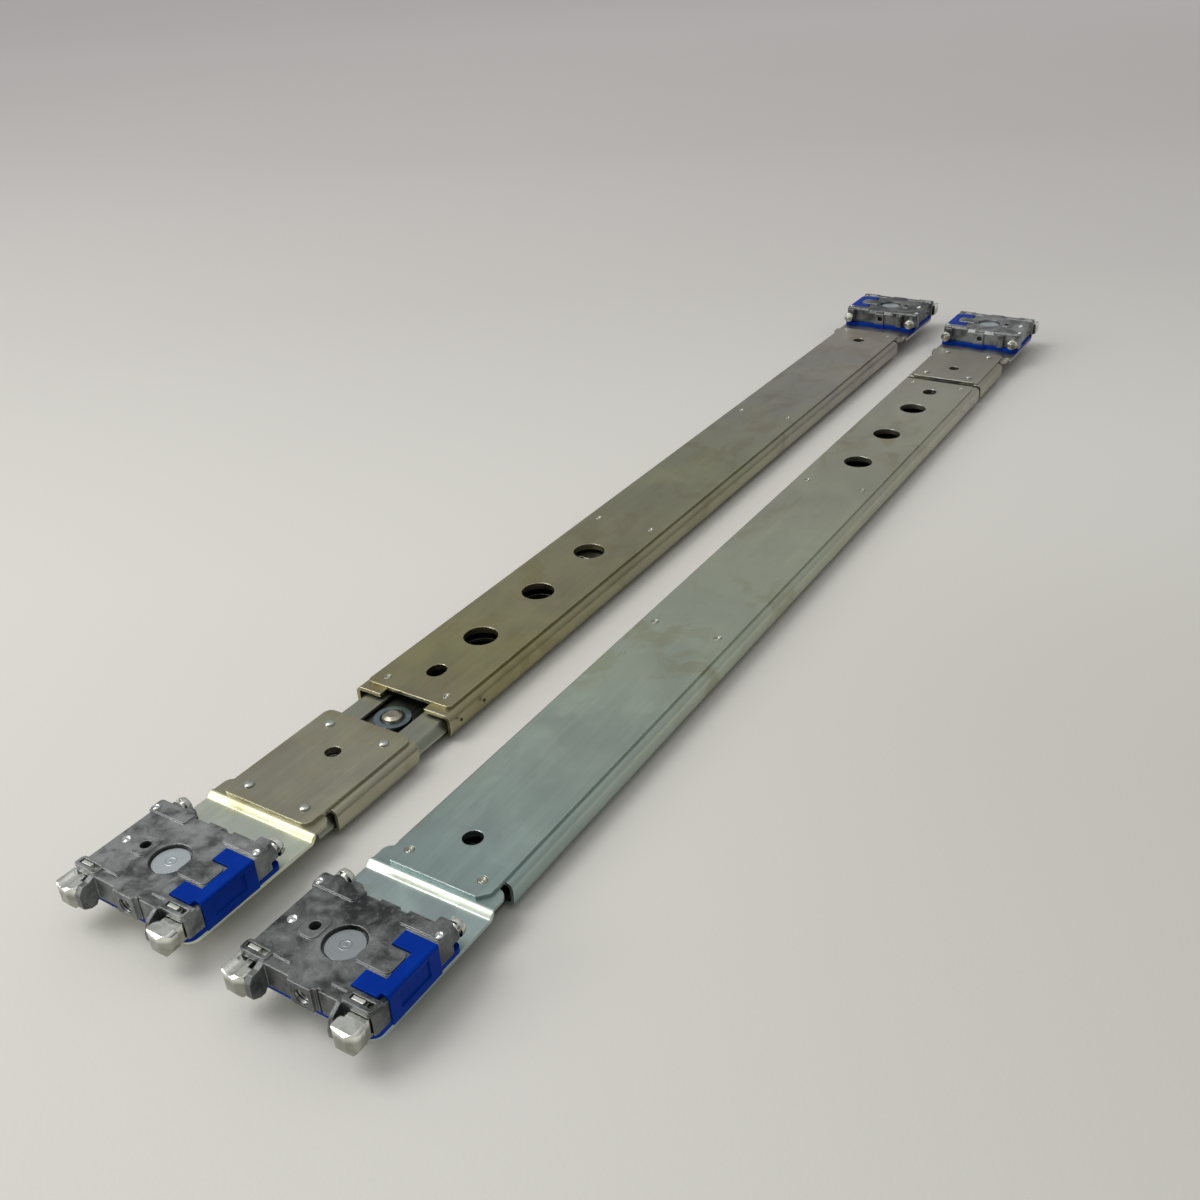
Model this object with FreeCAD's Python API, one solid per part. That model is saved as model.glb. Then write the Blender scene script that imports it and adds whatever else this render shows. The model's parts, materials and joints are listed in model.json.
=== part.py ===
import FreeCAD, Part
import math
import os

# Sliding server rail pair: two ball-bearing rails for a 19-inch rack, lying side by side with the
# side that faces the rack posts up. Both rails are the same assembly; the left one is the right one
# turned half a turn about Z, with its rear extension pulled out further.
#
# Frame: +Z up, origin on the surface the rails lie on, midway between them and midway along them.
# The rails run along Y. The right rail's front end is at -Y, the left rail's front end at +Y.
# A rail is drawn in its own frame: x across, y from the pin heads of its front bracket to the rear,
# z up from the surface. A bracket is drawn with its pin heads at y = 0 and its pins towards -y.

Vec = FreeCAD.Vector

# ---- overall sizes, mm -------------------------------------------------------------------------
RAIL_PITCH = 54.0            # between the centrelines of the two rails
RAIL_LENGTH = 429.5          # front pin heads to rear pin heads, right rail as it lies
LEFT_PULLED_OUT = 11.0       # how much further the left rail's extension stands out
PIN_SPACING = 31.75          # first to third hole of one rack unit
ADJUST_TRAVEL = 110.0        # extension travel from where the right rail's extension lies
ADJUST_CLOSE = 2.3           # what is left before the extension closes up on the channel
SLIDE_TRAVEL = 200.0         # inner slide out of the front

# ---- sheet thicknesses -------------------------------------------------------------------------
COVER_T = 1.1
CHANNEL_T = 1.1
SLIDE_T = 0.9
CAGE_T = 0.35

# ---- levels: what lies on what, from the surface up --------------------------------------------
BALL_R = 1.2
BALL_Z = 2.3
BALL_X = 12.0                # centre of a row of balls, from the rail's centreline
BALL_PLAY = 0.15             # ball to race
RACE_R = BALL_R + BALL_PLAY + SLIDE_T / 2       # middle of a race wall, about the ball's centre
OUTER_WEB_Z = BALL_Z + RACE_R                   # middle of the outer slide's web
INNER_WEB_Z = SLIDE_T / 2
CAGE_Z = 3.3
TONGUE_Z = 5.85
CHANNEL_Z = 7.75             # middle of the channel's web
PLATE_Z = 6.35               # middle of the bracket plate, below the joggle
CHANNEL_TOP = CHANNEL_Z + CHANNEL_T / 2
COVER_TOP = CHANNEL_TOP + COVER_T
PLATE_TOP = PLATE_Z + CHANNEL_T / 2
PLATE_BOTTOM = PLATE_Z - CHANNEL_T / 2
PIN_Z = 11.3

# ---- stations along a rail, from its front pin heads -------------------------------------------
COVER_FRONT = 10.4
COVER_REAR = 373.3
CHANNEL_START = 18.5         # where the channel's side walls begin
CHANNEL_REAR = 376.0
EAR_END = 16.0
SLIDE_FRONT = 12.5
SLIDE_REAR = 372.5
OUTER_REAR = 385.0
BIG_HOLES = (275.5, 306.75, 338.0)
OBLONG_Y = 359.7
FRONT_HOLE_Y = 26.3
COVER_RIVETS = (15.6, 134.5, 251.8, 369.1)
SPACERS = (48.0, 125.0, 205.0)
SPACER_R = 3.5
GUIDE_RIVET_Y = 380.5
CAGE_FRONT, CAGE_REAR = 115.0, 270.0
KEYHOLES = (62.0, 190.0, 318.0)

# ---- widths, from the rail's centreline --------------------------------------------------------
COVER_HALF = 15.0
CHANNEL_HALF = 17.2
PLATE_HALF = 18.2
EAR_HALF = 17.7
RELIEF_HALF = 14.6
COVER_RIVET_X = 10.8
TONGUE_SLOT_HALF = 7.0

# ---- extension, from the rear pin heads towards the middle -------------------------------------
EXT_CHANNEL_END = 50.7
EXT_COVER_NEAR, EXT_COVER_FAR = 10.0, 51.0
EXT_COVER_HALF = 15.0
EXT_RIVET_X = 9.7
EXT_RIVETS = (15.0, 45.4)
EXT_HOLE_Y = 36.1
TONGUE_END = 203.5
TONGUE_START = 13.0
TONGUE_SLOT = (41.0, 165.2)

# ---- holes -------------------------------------------------------------------------------------
BIG_HOLE_R = 5.4
SMALL_HOLE_R = 2.7
EXT_HOLE_R = 2.3
OBLONG_R, OBLONG_SHIFT = 2.8, 0.6
RIM_STEP = 0.3               # the channel's holes are this much larger than the cover's
OUTER_HOLE_R = 6.5
RIVET_R = 1.2
RIVET_PLAY = 0.05

# ---- bracket -----------------------------------------------------------------------------------
CAST_BOTTOM = 8.5
CAST_TOP = 14.9
PAD_TOP = 15.35
CAST_HALF = 17.3
PLATE_NEAR = -30.4           # front end of the steel plate
BASE_NEAR = -31.0            # front end of the latch's base
BASE_REAR = -3.2
FOOT_REAR = -2.0              # the base's two feet under the pin heads
CAST_RIGHT = 17.75           # casting wall behind the latch's side
CAST_EDGE = 18.3
CAST_FRONT = -31.4
CORNER_FRONT = -31.0         # the corners behind the noses stand back
BOSS_FRONT = -32.2
CAST_REAR = -4.4
LATCH_NEAR, LATCH_FAR = -25.6, -9.6
LATCH_TRAVEL = 2.2
LATCH_PLAY = 0.1
LATCH_WALL = 0.75
HUB_X = 0.4
HUB_Y = -18.5
HUB_R = 4.4
HUB_DISC_R = 4.5
HUB_RECESS_R = HUB_DISC_R + 0.6
HUB_DISC_TOP = 14.1
HUB_DISC_BOTTOM = 13.3
HUB_SHANK_R = 2.5
TAP_R = 2.1
TAP_DEPTH = 8.0
PIN_X = PIN_SPACING / 2
PIN_R = 1.6
PIN_ROD_R = 1.15             # thin part of the pin, inside its spring
PIN_PLAY = 0.08
PIN_TRAVEL = 1.6
HEAD_R = 2.35
HEAD_FRONT = -1.3
BOSS_R = 2.3
BOSS_END = -2.4              # rear end of the bosses round the pins
NOSE_HALF = 3.3
NOSE_SHIFT = 1.1                # the right nose stands this far towards the middle of the bracket
NOSE_BACK = -32.7
NOSE_TIP = -36.5
NOSE_TOP = 1.9               # flat on top of the nose, above the pin's axis
NOSE_DROP = 4.3              # nose below the pin's axis
NECK_END = -30.4
LAND_END = -27.4
SPRING_SEAT = -20.6
SPRING_R = 1.38
SPRING_WIRE = 0.26
SPRING_TURNS = 3
LOCK_Z = 13.55
LOCK_T = 0.6
LOCK_Y = -29.2
LOCK_HALF = 0.9
LUG_X = (-PIN_X + 0.575, PIN_X - 2.125)
EAR_X = (-PIN_X + 3.775, -PIN_X + 5.375)      # flat ear beside the left pin's nose
WALL_X = (PIN_X - 5.975, PIN_X - 4.975)       # curved wall beside the right pin's nose
FACE_X = (EAR_X[0], PIN_X - 5.475)            # casting's front face, between the corners
HEAD_LUG_X = (PIN_X - 2.375, PIN_X + 1.225)   # lug over the right pin's head
LUG_HALF = 1.55


# ================================================================================================
# Drawing helpers
# ================================================================================================
def on_plane(plane, u, v):
    """Point (u, v) of a drawing plane in space: XY, XZ or YZ through the origin."""
    return {"XY": Vec(u, v, 0), "XZ": Vec(u, 0, v), "YZ": Vec(0, u, v)}[plane]


def normal_of(plane):
    """Direction in which a drawing on the plane is extruded."""
    return {"XY": Vec(0, 0, 1), "XZ": Vec(0, 1, 0), "YZ": Vec(1, 0, 0)}[plane]


def outline(corners, plane):
    """Closed wire through (u, v, r) corners, each rounded by its own radius r."""
    points = [on_plane(plane, c[0], c[1]) for c in corners]
    radii = [c[2] if len(c) > 2 else 0.0 for c in corners]
    count = len(points)
    starts, ends, middles = [], [], []
    for i, (corner, radius) in enumerate(zip(points, radii)):
        back = (points[i - 1] - corner).normalize()
        ahead = (points[(i + 1) % count] - corner).normalize()
        half = back.getAngle(ahead) / 2
        reach = radius / math.tan(half) if radius else 0.0
        starts.append(corner + back * reach)
        ends.append(corner + ahead * reach)
        to_centre = (back + ahead).normalize() if radius else Vec()
        middles.append(corner + to_centre * (radius / math.sin(half) - radius))
    edges = []
    for i in range(count):
        if radii[i]:
            edges.append(Part.Arc(starts[i], middles[i], ends[i]).toShape())
        following = starts[(i + 1) % count]
        if ends[i].distanceToPoint(following) > 1e-6:
            edges.append(Part.makeLine(ends[i], following))
    return Part.Wire(edges)


def prism(corners, plane, start, end):
    """Solid between two stations along the plane's normal, with the given outline."""
    normal = normal_of(plane)
    face = Part.Face(outline(corners, plane))
    face.translate(normal * start)
    return face.extrude(normal * (end - start))


def block(x0, x1, y0, y1, z0, z1, radius=0.0):
    """Box between two corners, with its upright edges rounded."""
    corners = [(x0, y0, radius), (x1, y0, radius), (x1, y1, radius), (x0, y1, radius)]
    return prism(corners, "XY", z0, z1)


def post(x, y, z0, z1, radius):
    """Upright cylinder."""
    return Part.makeCylinder(radius, z1 - z0, Vec(x, y, z0))


def rod(x, z, y0, y1, radius):
    """Cylinder along Y."""
    return Part.makeCylinder(radius, y1 - y0, Vec(x, y0, z), Vec(0, 1, 0))


def slot(x0, x1, y, z0, z1, radius):
    """Upright cylinder drawn out along X from x0 to x1."""
    if x0 == x1:
        return post(x0, y, z0, z1, radius)
    corners = [(x0 - radius, y - radius, radius * 0.999), (x1 + radius, y - radius, radius * 0.999),
               (x1 + radius, y + radius, radius * 0.999), (x0 - radius, y + radius, radius * 0.999)]
    return prism(corners, "XY", z0, z1)


def turned(profile, x=0.0, y=0.0, z=0.0):
    """Solid of revolution about the upright line through (x, y); profile is (radius, height)."""
    points = [Vec(r, 0, h) for r, h in profile]
    face = Part.Face(Part.makePolygon(points + points[:1]))
    solid = face.revolve(Vec(), Vec(0, 0, 1), 360)
    solid.translate(Vec(x, y, z))
    return solid


def turned_y(profile):
    """Solid of revolution about the Y axis; profile is (radius, station)."""
    points = [Vec(r, s, 0) for r, s in profile]
    face = Part.Face(Part.makePolygon(points + points[:1]))
    return face.revolve(Vec(), Vec(0, 1, 0), 360)


def step_along(u, v, heading, move):
    """End of one move of a bent strip: (length,) runs straight, (radius, turn) bends by degrees."""
    if len(move) == 1:
        return u + move[0] * math.cos(heading), v + move[0] * math.sin(heading), heading
    radius, turn = move[0], math.radians(move[1])
    side = math.copysign(1.0, turn)
    cu, cv = u - side * radius * math.sin(heading), v + side * radius * math.cos(heading)
    after = heading + turn
    return cu + side * radius * math.sin(after), cv - side * radius * math.cos(after), after


def half_of(move):
    """The first half of a move, for the middle point of a bend."""
    return (move[0], move[1] / 2) if len(move) == 2 else (move[0] / 2,)


def bent_strip(start, heading, moves, thickness, plane):
    """Face of a bent sheet: its middle line starts at a point and follows the moves in turn."""
    sides = {}
    for side in (1, -1):
        u, v, angle = start[0], start[1], math.radians(heading)
        edges = []
        for move in moves:
            spots = []
            for part in (None, half_of(move), move):
                pu, pv, pa = step_along(u, v, angle, part) if part else (u, v, angle)
                offset = side * thickness / 2
                spots.append(on_plane(plane, pu - offset * math.sin(pa), pv + offset * math.cos(pa)))
            bend = len(move) == 2
            edges.append(Part.Arc(*spots).toShape() if bend else Part.makeLine(spots[0], spots[2]))
            u, v, angle = step_along(u, v, angle, move)
        sides[side] = edges
    first = Part.makeLine(sides[1][0].Vertexes[0].Point, sides[-1][0].Vertexes[0].Point)
    last = Part.makeLine(sides[1][-1].Vertexes[-1].Point, sides[-1][-1].Vertexes[-1].Point)
    loop = sides[1] + sides[-1] + [first, last]
    return Part.Face(Part.Wire(Part.__sortEdges__(loop)))


def folded_rail(web_z, half_moves, thickness, y0, y1):
    """Symmetrical rolled profile along Y: the right half's moves start at the web's middle."""
    u, v, angle = 0.0, web_z, 0.0
    for move in half_moves:
        u, v, angle = step_along(u, v, angle, move)
    moves = list(reversed(half_moves)) + list(half_moves)
    face = bent_strip((-u, v), -math.degrees(angle), moves, thickness, "XZ")
    face.translate(Vec(0, y0, 0))
    return face.extrude(Vec(0, y1 - y0, 0))


def fused(shapes):
    """One solid from overlapping or touching solids."""
    whole = shapes[0]
    for shape in shapes[1:]:
        whole = whole.fuse(shape)
    return whole.removeSplitter()


def cut_all(shape, tools):
    """The shape less every tool."""
    for tool in tools:
        shape = shape.cut(tool)
    return shape


def bore_tools(stations, radius, z0, z1, x_list=(0.0,)):
    """Upright cutters at every station and every x."""
    return [post(x, y, z0, z1, radius) for y in stations for x in x_list]


def oblong_cutter(radius, z0, z1):
    """The short slot near the cover's rear end, along the rail."""
    y0, y1 = OBLONG_Y - OBLONG_SHIFT, OBLONG_Y + OBLONG_SHIFT
    middle = block(-radius, radius, y0, y1, z0, z1)
    return fused([middle, post(0, y0, z0, z1, radius), post(0, y1, z0, z1, radius)])


# ================================================================================================
# Rail pieces, in the rail's frame
# ================================================================================================
def joggled_plate():
    """Bracket plate: leaves the channel's web, steps down and carries the bracket (bracket frame)."""
    bend_r, bend_angle = 1.1, 50.0
    drop = CHANNEL_Z - PLATE_Z
    turn = math.radians(bend_angle)
    slope = (drop - 2 * bend_r * (1 - math.cos(turn))) / math.sin(turn)
    moves = [(9.1,), (bend_r, bend_angle), (slope,), (bend_r, -bend_angle), (42.0,)]
    face = bent_strip((CHANNEL_START + 0.5, CHANNEL_Z), 180.0, moves, CHANNEL_T, "YZ")
    face.translate(Vec(-20, 0, 0))
    sheet = face.extrude(Vec(40, 0, 0))
    plan = [(-PLATE_HALF, PLATE_NEAR, 3.0), (PLATE_HALF, PLATE_NEAR, 3.0), (PLATE_HALF, 9.5),
            (EAR_HALF, 10.5), (EAR_HALF, EAR_END, 2.6), (RELIEF_HALF, EAR_END),
            (RELIEF_HALF, CHANNEL_START + 0.5), (-RELIEF_HALF, CHANNEL_START + 0.5),
            (-RELIEF_HALF, EAR_END), (-EAR_HALF, EAR_END, 2.6),
            (-EAR_HALF, 10.5), (-PLATE_HALF, 9.5)]
    sheet = sheet.common(prism(plan, "XY", 0, COVER_TOP))
    return sheet.cut(post(HUB_X, HUB_Y, 0, CAST_TOP, HUB_SHANK_R + RIVET_PLAY))


def channel_profile(y0, y1):
    """The C-shaped channel with rounded top edges and its lips rolled in underneath."""
    top_r, curl_r, lip = 1.5, 1.5, 0.5
    side = CHANNEL_HALF - CHANNEL_T / 2
    bottom = 1.2 + CHANNEL_T / 2
    moves = [(side - top_r,), (top_r, -90.0), (CHANNEL_Z - top_r - bottom - curl_r,), (curl_r, -90.0), (lip,)]
    return folded_rail(CHANNEL_Z, moves, CHANNEL_T, y0, y1)


def main_channel():
    """Rack-side channel of a rail with its front bracket plate, in one piece."""
    body = fused([channel_profile(CHANNEL_START, CHANNEL_REAR), joggled_plate()])
    z0, z1 = CHANNEL_Z - CHANNEL_T, CHANNEL_TOP + 0.1
    tools = bore_tools(BIG_HOLES, BIG_HOLE_R + RIM_STEP, z0, z1)
    tools += bore_tools([FRONT_HOLE_Y], SMALL_HOLE_R + RIM_STEP, z0, z1)
    tools.append(oblong_cutter(OBLONG_R + RIM_STEP, z0, z1))
    tools.append(block(-8.0, 8.0, COVER_REAR - 5.0, CHANNEL_REAR + 1, z0, z1))
    return cut_all(body, tools)


def cover_plate():
    """Long flat cover on the channel, with its three large holes."""
    front, rear, half = COVER_FRONT, COVER_REAR, COVER_HALF
    plan = [(-12.6, front), (12.6, front), (half, front + 2.6), (half, rear, 1.5), (-half, rear, 1.5),
            (-half, front + 2.6)]
    body = prism(plan, "XY", CHANNEL_TOP, COVER_TOP)
    z0, z1 = CHANNEL_TOP - 0.5, COVER_TOP + 0.5
    tools = bore_tools(BIG_HOLES, BIG_HOLE_R, z0, z1) + bore_tools([FRONT_HOLE_Y], SMALL_HOLE_R, z0, z1)
    tools += bore_tools(COVER_RIVETS, RIVET_R + RIVET_PLAY, z0, z1, (-COVER_RIVET_X, COVER_RIVET_X))
    tools.append(oblong_cutter(OBLONG_R, z0, z1))
    return cut_all(body, tools)


def cover_rivets():
    """Flush rivets that hold the cover to the channel, a pair at each station."""
    return [post(x, y, CHANNEL_TOP, COVER_TOP, RIVET_R) for y in COVER_RIVETS
            for x in (-COVER_RIVET_X, COVER_RIVET_X)]


def outer_slide():
    """Fixed member of the ball slide: a web whose sides roll round the two rows of balls."""
    moves = [(BALL_X,), (RACE_R, -150.0)]
    body = folded_rail(OUTER_WEB_Z, moves, SLIDE_T, SLIDE_FRONT, OUTER_REAR)
    z0, z1 = OUTER_WEB_Z - SLIDE_T, OUTER_WEB_Z + SLIDE_T
    tools = bore_tools(BIG_HOLES, OUTER_HOLE_R, z0, z1) + bore_tools([FRONT_HOLE_Y, OBLONG_Y], 3.6, z0, z1)
    return cut_all(body, tools)


def inner_slide():
    """Moving member that the server's own rail hangs on: lies flat, with keyholes in its web."""
    wall_start, wall_end = 205.0, 165.0
    low_angle = math.radians(wall_start)
    rise = BALL_Z + RACE_R * math.sin(low_angle) - INNER_WEB_Z
    turn = wall_start - 90.0
    bend_r = rise / (1 - math.cos(math.radians(turn)))
    run = BALL_X + RACE_R * math.cos(low_angle) - bend_r * math.sin(math.radians(turn))
    moves = [(run,), (bend_r, turn), (RACE_R, wall_end - wall_start)]
    body = folded_rail(INNER_WEB_Z, moves, SLIDE_T, SLIDE_FRONT, SLIDE_REAR)
    tools = []
    for y in KEYHOLES:
        tools.append(post(0, y, -1, 2, 4.2))
        tools.append(block(-2.2, 2.2, y, y + 9.0, -1, 2))
        tools.append(post(0, y + 9.0, -1, 2, 2.2))
    return cut_all(body, tools)


def ball_stations():
    """Stations of the balls along the cage."""
    inset, count = 12.5, 3
    pitch = (CAGE_REAR - CAGE_FRONT - 2 * inset) / (count - 1)
    return [CAGE_FRONT + inset + i * pitch for i in range(count)]


def ball_cage():
    """Thin folded retainer between the two slides, notched for the balls."""
    bend_r = 0.7
    moves = [(BALL_X - bend_r,), (bend_r, -90.0), (1.6,)]
    body = folded_rail(CAGE_Z, moves, CAGE_T, CAGE_FRONT, CAGE_REAR)
    half, top = BALL_R + BALL_PLAY, CAGE_Z + CAGE_T
    notches = [block(side * BALL_X - 1.5, side * BALL_X + 1.5, y - half, y + half, 0, top)
               for y in ball_stations() for side in (-1, 1)]
    return cut_all(body, notches)


def balls():
    """Two rows of steel balls."""
    return [Part.makeSphere(BALL_R, Vec(x, y, BALL_Z)) for y in ball_stations() for x in (-BALL_X, BALL_X)]


def spacers():
    """Round spacers welded between the outer slide and the channel's web."""
    return [post(0, y, OUTER_WEB_Z + SLIDE_T / 2, CHANNEL_Z - CHANNEL_T / 2, SPACER_R) for y in SPACERS]


def guide_rivet():
    """Domed rivet and its washer on the outer slide, in the tongue's slot: it guides the extension."""
    seat = OUTER_WEB_Z + SLIDE_T / 2
    shelf, washer_t, head_t = seat + 0.65, 0.5, 1.2
    crown = shelf + washer_t
    profile = [(0, seat), (3.2, seat), (3.2, shelf), (1.8, shelf), (1.8, crown), (3.1, crown),
               (2.9, crown + 0.6), (1.8, crown + head_t), (0, crown + head_t)]
    ring = [(1.85, shelf), (5.4, shelf), (5.4, crown), (1.85, crown)]
    return [turned(profile, 0, GUIDE_RIVET_Y), turned(ring, 0, GUIDE_RIVET_Y)]


# ================================================================================================
# Extension pieces, in the bracket's frame (pin heads at y = 0)
# ================================================================================================
def extension_channel():
    """Short channel of the rear extension with its bracket plate, in one piece."""
    body = fused([channel_profile(CHANNEL_START, EXT_CHANNEL_END), joggled_plate()])
    corner, z_low = 4.0, 1.2
    start, stop = EXT_CHANNEL_END - corner, EXT_CHANNEL_END + 1
    round_off = []
    for side in (-1, 1):
        x0, x1 = sorted((side * (CHANNEL_HALF - 1.4), side * (CHANNEL_HALF + 1)))
        square = prism([(start, 0), (stop, 0), (stop, z_low + corner), (start, z_low + corner)], "YZ", x0, x1)
        disc = Part.makeCylinder(corner, x1 - x0, Vec(x0, start, z_low + corner), Vec(1, 0, 0))
        round_off.append(square.cut(disc))
    inner_lip = block(-20, 20, start, stop, 0, z_low + CHANNEL_T + 0.05)
    z0, z1 = CHANNEL_Z - CHANNEL_T, CHANNEL_TOP + 0.1
    tools = round_off + [inner_lip]
    tools += bore_tools(EXT_RIVETS, RIVET_R + RIVET_PLAY, z0, z1, (-EXT_RIVET_X, EXT_RIVET_X))
    tools += bore_tools([EXT_HOLE_Y], EXT_HOLE_R + RIM_STEP, z0, z1)
    return cut_all(body, tools)


def extension_cover():
    """Small flat cover of the extension."""
    near, far, half = EXT_COVER_NEAR, EXT_COVER_FAR, EXT_COVER_HALF
    plan = [(-half, near, 2.4), (half, near, 2.4), (half, far, 2.4), (-half, far, 2.4)]
    body = prism(plan, "XY", CHANNEL_TOP, COVER_TOP)
    z0, z1 = CHANNEL_TOP - 0.5, COVER_TOP + 0.5
    tools = bore_tools(EXT_RIVETS, RIVET_R + RIVET_PLAY, z0, z1, (-EXT_RIVET_X, EXT_RIVET_X))
    tools += bore_tools([EXT_HOLE_Y], EXT_HOLE_R, z0, z1)
    return cut_all(body, tools)


def extension_rivets():
    """Domed rivets through the extension's cover and channel, with a collar down to the tongue."""
    seat, web, top = TONGUE_Z + SLIDE_T / 2, CHANNEL_Z - CHANNEL_T / 2, COVER_TOP + 0.75
    profile = [(0, seat), (2.4, seat), (2.4, web), (RIVET_R, web), (RIVET_R, COVER_TOP), (1.6, COVER_TOP),
               (1.25, top - 0.2), (0, top)]
    return [turned(profile, x, y) for y in EXT_RIVETS for x in (-EXT_RIVET_X, EXT_RIVET_X)]


def extension_tongue():
    """Long slotted member of the extension that runs inside the main channel."""
    shoulder_r = 0.9
    moves = [(13.2,), (shoulder_r, -60.0), (1.9,), (shoulder_r, -30.0), (0.4,)]
    body = folded_rail(TONGUE_Z, moves, SLIDE_T, TONGUE_START, TONGUE_END)
    z0, z1 = TONGUE_Z - 1, TONGUE_Z + 1
    slot_start, slot_end = TONGUE_SLOT
    tools = [block(-TONGUE_SLOT_HALF, TONGUE_SLOT_HALF, slot_start, slot_end, z0, z1, 3.0)]
    tools += bore_tools([EXT_HOLE_Y], EXT_HOLE_R + 2 * RIM_STEP, z0, z1)
    return cut_all(body, tools)


# ================================================================================================
# Bracket pieces, in the bracket's frame
# ================================================================================================
def casting_block():
    """The casting's outline in plan, with its corners and the bosses round the pins."""
    edge, wall, rear = CAST_EDGE, CAST_HALF, CAST_REAR
    plan = [(-edge, CORNER_FRONT, 1.2), (FACE_X[0], CORNER_FRONT), (FACE_X[0], CAST_FRONT),
            (-3.6, CAST_FRONT), (-3.2, BOSS_FRONT), (3.0, BOSS_FRONT), (3.3, CAST_FRONT),
            (FACE_X[1], CAST_FRONT), (FACE_X[1], CORNER_FRONT),
            (edge, CORNER_FRONT, 1.4), (edge, LATCH_NEAR - 0.2),
            (CAST_RIGHT, LATCH_NEAR - 0.2), (CAST_RIGHT, LATCH_FAR + 0.2), (edge, LATCH_FAR + 0.2),
            (edge, rear, 0.8), (3.8, rear), (3.2, -3.7), (-1.2, -3.7), (-1.8, rear), (-edge, rear, 0.8),
            (-edge, -8.7), (-wall, -8.9), (-wall, -27.4), (-edge, -27.6)]
    body = prism(plan, "XY", CAST_BOTTOM, CAST_TOP)
    bosses = [rod(side * PIN_X, PIN_Z, rear - 0.5, BOSS_END, BOSS_R) for side in (-1, 1)]
    clear_plate = block(-20, 20, rear - 1, 0, 0, CAST_BOTTOM)
    lugs = [block(*HEAD_LUG_X, rear - 0.5, BOSS_END, PIN_Z, CAST_TOP, 0.6),
            block(-11.2, -7.9, rear - 0.5, BOSS_END - 0.3, CAST_BOTTOM, CAST_TOP - 0.5, 0.9)]
    return fused([body] + [boss.cut(clear_plate) for boss in bosses] + lugs)


def casting_pads():
    """Raised pads, ribs and tongue on the casting's top."""
    edge, top, z0 = CAST_EDGE - 0.1, PAD_TOP, CAST_TOP - 0.3
    front, back = CORNER_FRONT + 0.05, LOCK_Y + LOCK_HALF
    pads = [block(-edge, -6.0, -8.6, CAST_REAR - 0.1, z0, top, 0.9),
            block(6.8, edge, -8.6, -5.2, z0, top, 0.9),
            block(-edge, -10.6, front, back + 0.3, z0, top, 0.8),
            block(10.4, edge, front, back + 0.3, z0, top, 0.8),
            block(-11.0, -5.6, back - 0.4, back + 0.3, z0, top - 0.1),
            block(6.0, 11.0, back - 0.4, back + 0.3, z0, top - 0.1),
            block(-10.9, -5.7, -21.6, -15.0, z0, top - 0.05, 1.6),
            block(5.4, 14.8, -21.4, -14.8, z0, top, 1.4)]
    return pads


def casting_hub():
    """Round boss the casting stands on, round the hub rivet; the latch's base slides about it."""
    return post(HUB_X, HUB_Y, PLATE_TOP, CAST_BOTTOM + 0.3, HUB_R)


def casting_ears():
    """Flat ear beside the left pin, and the curved wall beside the right pin's nose."""
    root, top = CAST_FRONT + 0.6, CAST_TOP
    ear = [(root, CAST_BOTTOM), (root, top), (CAST_FRONT, top), (-33.0, 14.2), (-34.8, 14.2),
           (-36.2, 12.4, 0.9), (-36.2, 8.6, 1.2), (-34.0, 7.4), (-32.6, 7.4), (-31.8, CAST_BOTTOM)]
    wall = [(root, CAST_BOTTOM), (root, top), (CAST_FRONT - 0.2, top), (-34.2, 13.4, 2.0), (-35.3, 10.4, 1.2),
            (-35.3, CAST_BOTTOM)]
    return [prism(ear, "YZ", *EAR_X), prism(wall, "YZ", *WALL_X)]


def pin_cutters(x):
    """Bore and neck pocket for the pin at x; its spring lies in the bore behind the land."""
    return [rod(x, PIN_Z, -40, SPRING_SEAT, PIN_R + PIN_PLAY),
            rod(x, PIN_Z, -40, 5, PIN_ROD_R + PIN_PLAY),
            block(x - 3.6, x + 2.0, -40, NECK_END + PIN_TRAVEL + 0.3, CAST_BOTTOM - 1.0, LOCK_Z)]


def lock_cutters():
    """Channel under the casting's skin for the lock strip, and the two slots its lugs show in."""
    z0, z1, play = LOCK_Z - 0.1, LOCK_Z + LOCK_T + 0.15, 0.15
    left, right = LUG_X[0] - LUG_HALF - 0.2, LUG_X[1] + LUG_HALF + 0.2
    near, far = LOCK_Y - LOCK_HALF - play, LOCK_Y + LOCK_HALF + play
    cutters = [block(left - play, right + LATCH_TRAVEL + play, near, far, z0, z1),
               block(8.2, 13.2 + LATCH_TRAVEL + play, LOCK_Y, -23.3, z0, z1)]
    for x in LUG_X:
        cutters.append(block(x - LUG_HALF - 0.6, x + LUG_HALF + LATCH_TRAVEL + play,
                             LOCK_Y - 0.75, LOCK_Y + 0.75, z0, PAD_TOP + 1))
    return cutters


def rear_ledge():
    """Cutters that step the top rear edge down between the pads, and round its short tongue."""
    low, high, end = CAST_TOP - 1.2, PAD_TOP + 1, -3.0
    step = [(-5.5, high), (-5.5, CAST_TOP), (CAST_REAR, low), (end, low), (end, high)]
    return [prism(step, "YZ", -5.8, -1.1), prism(step, "YZ", 3.1, 6.7),
            block(-1.1, 3.1, CAST_REAR - 0.2, end, low, high)]


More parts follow.
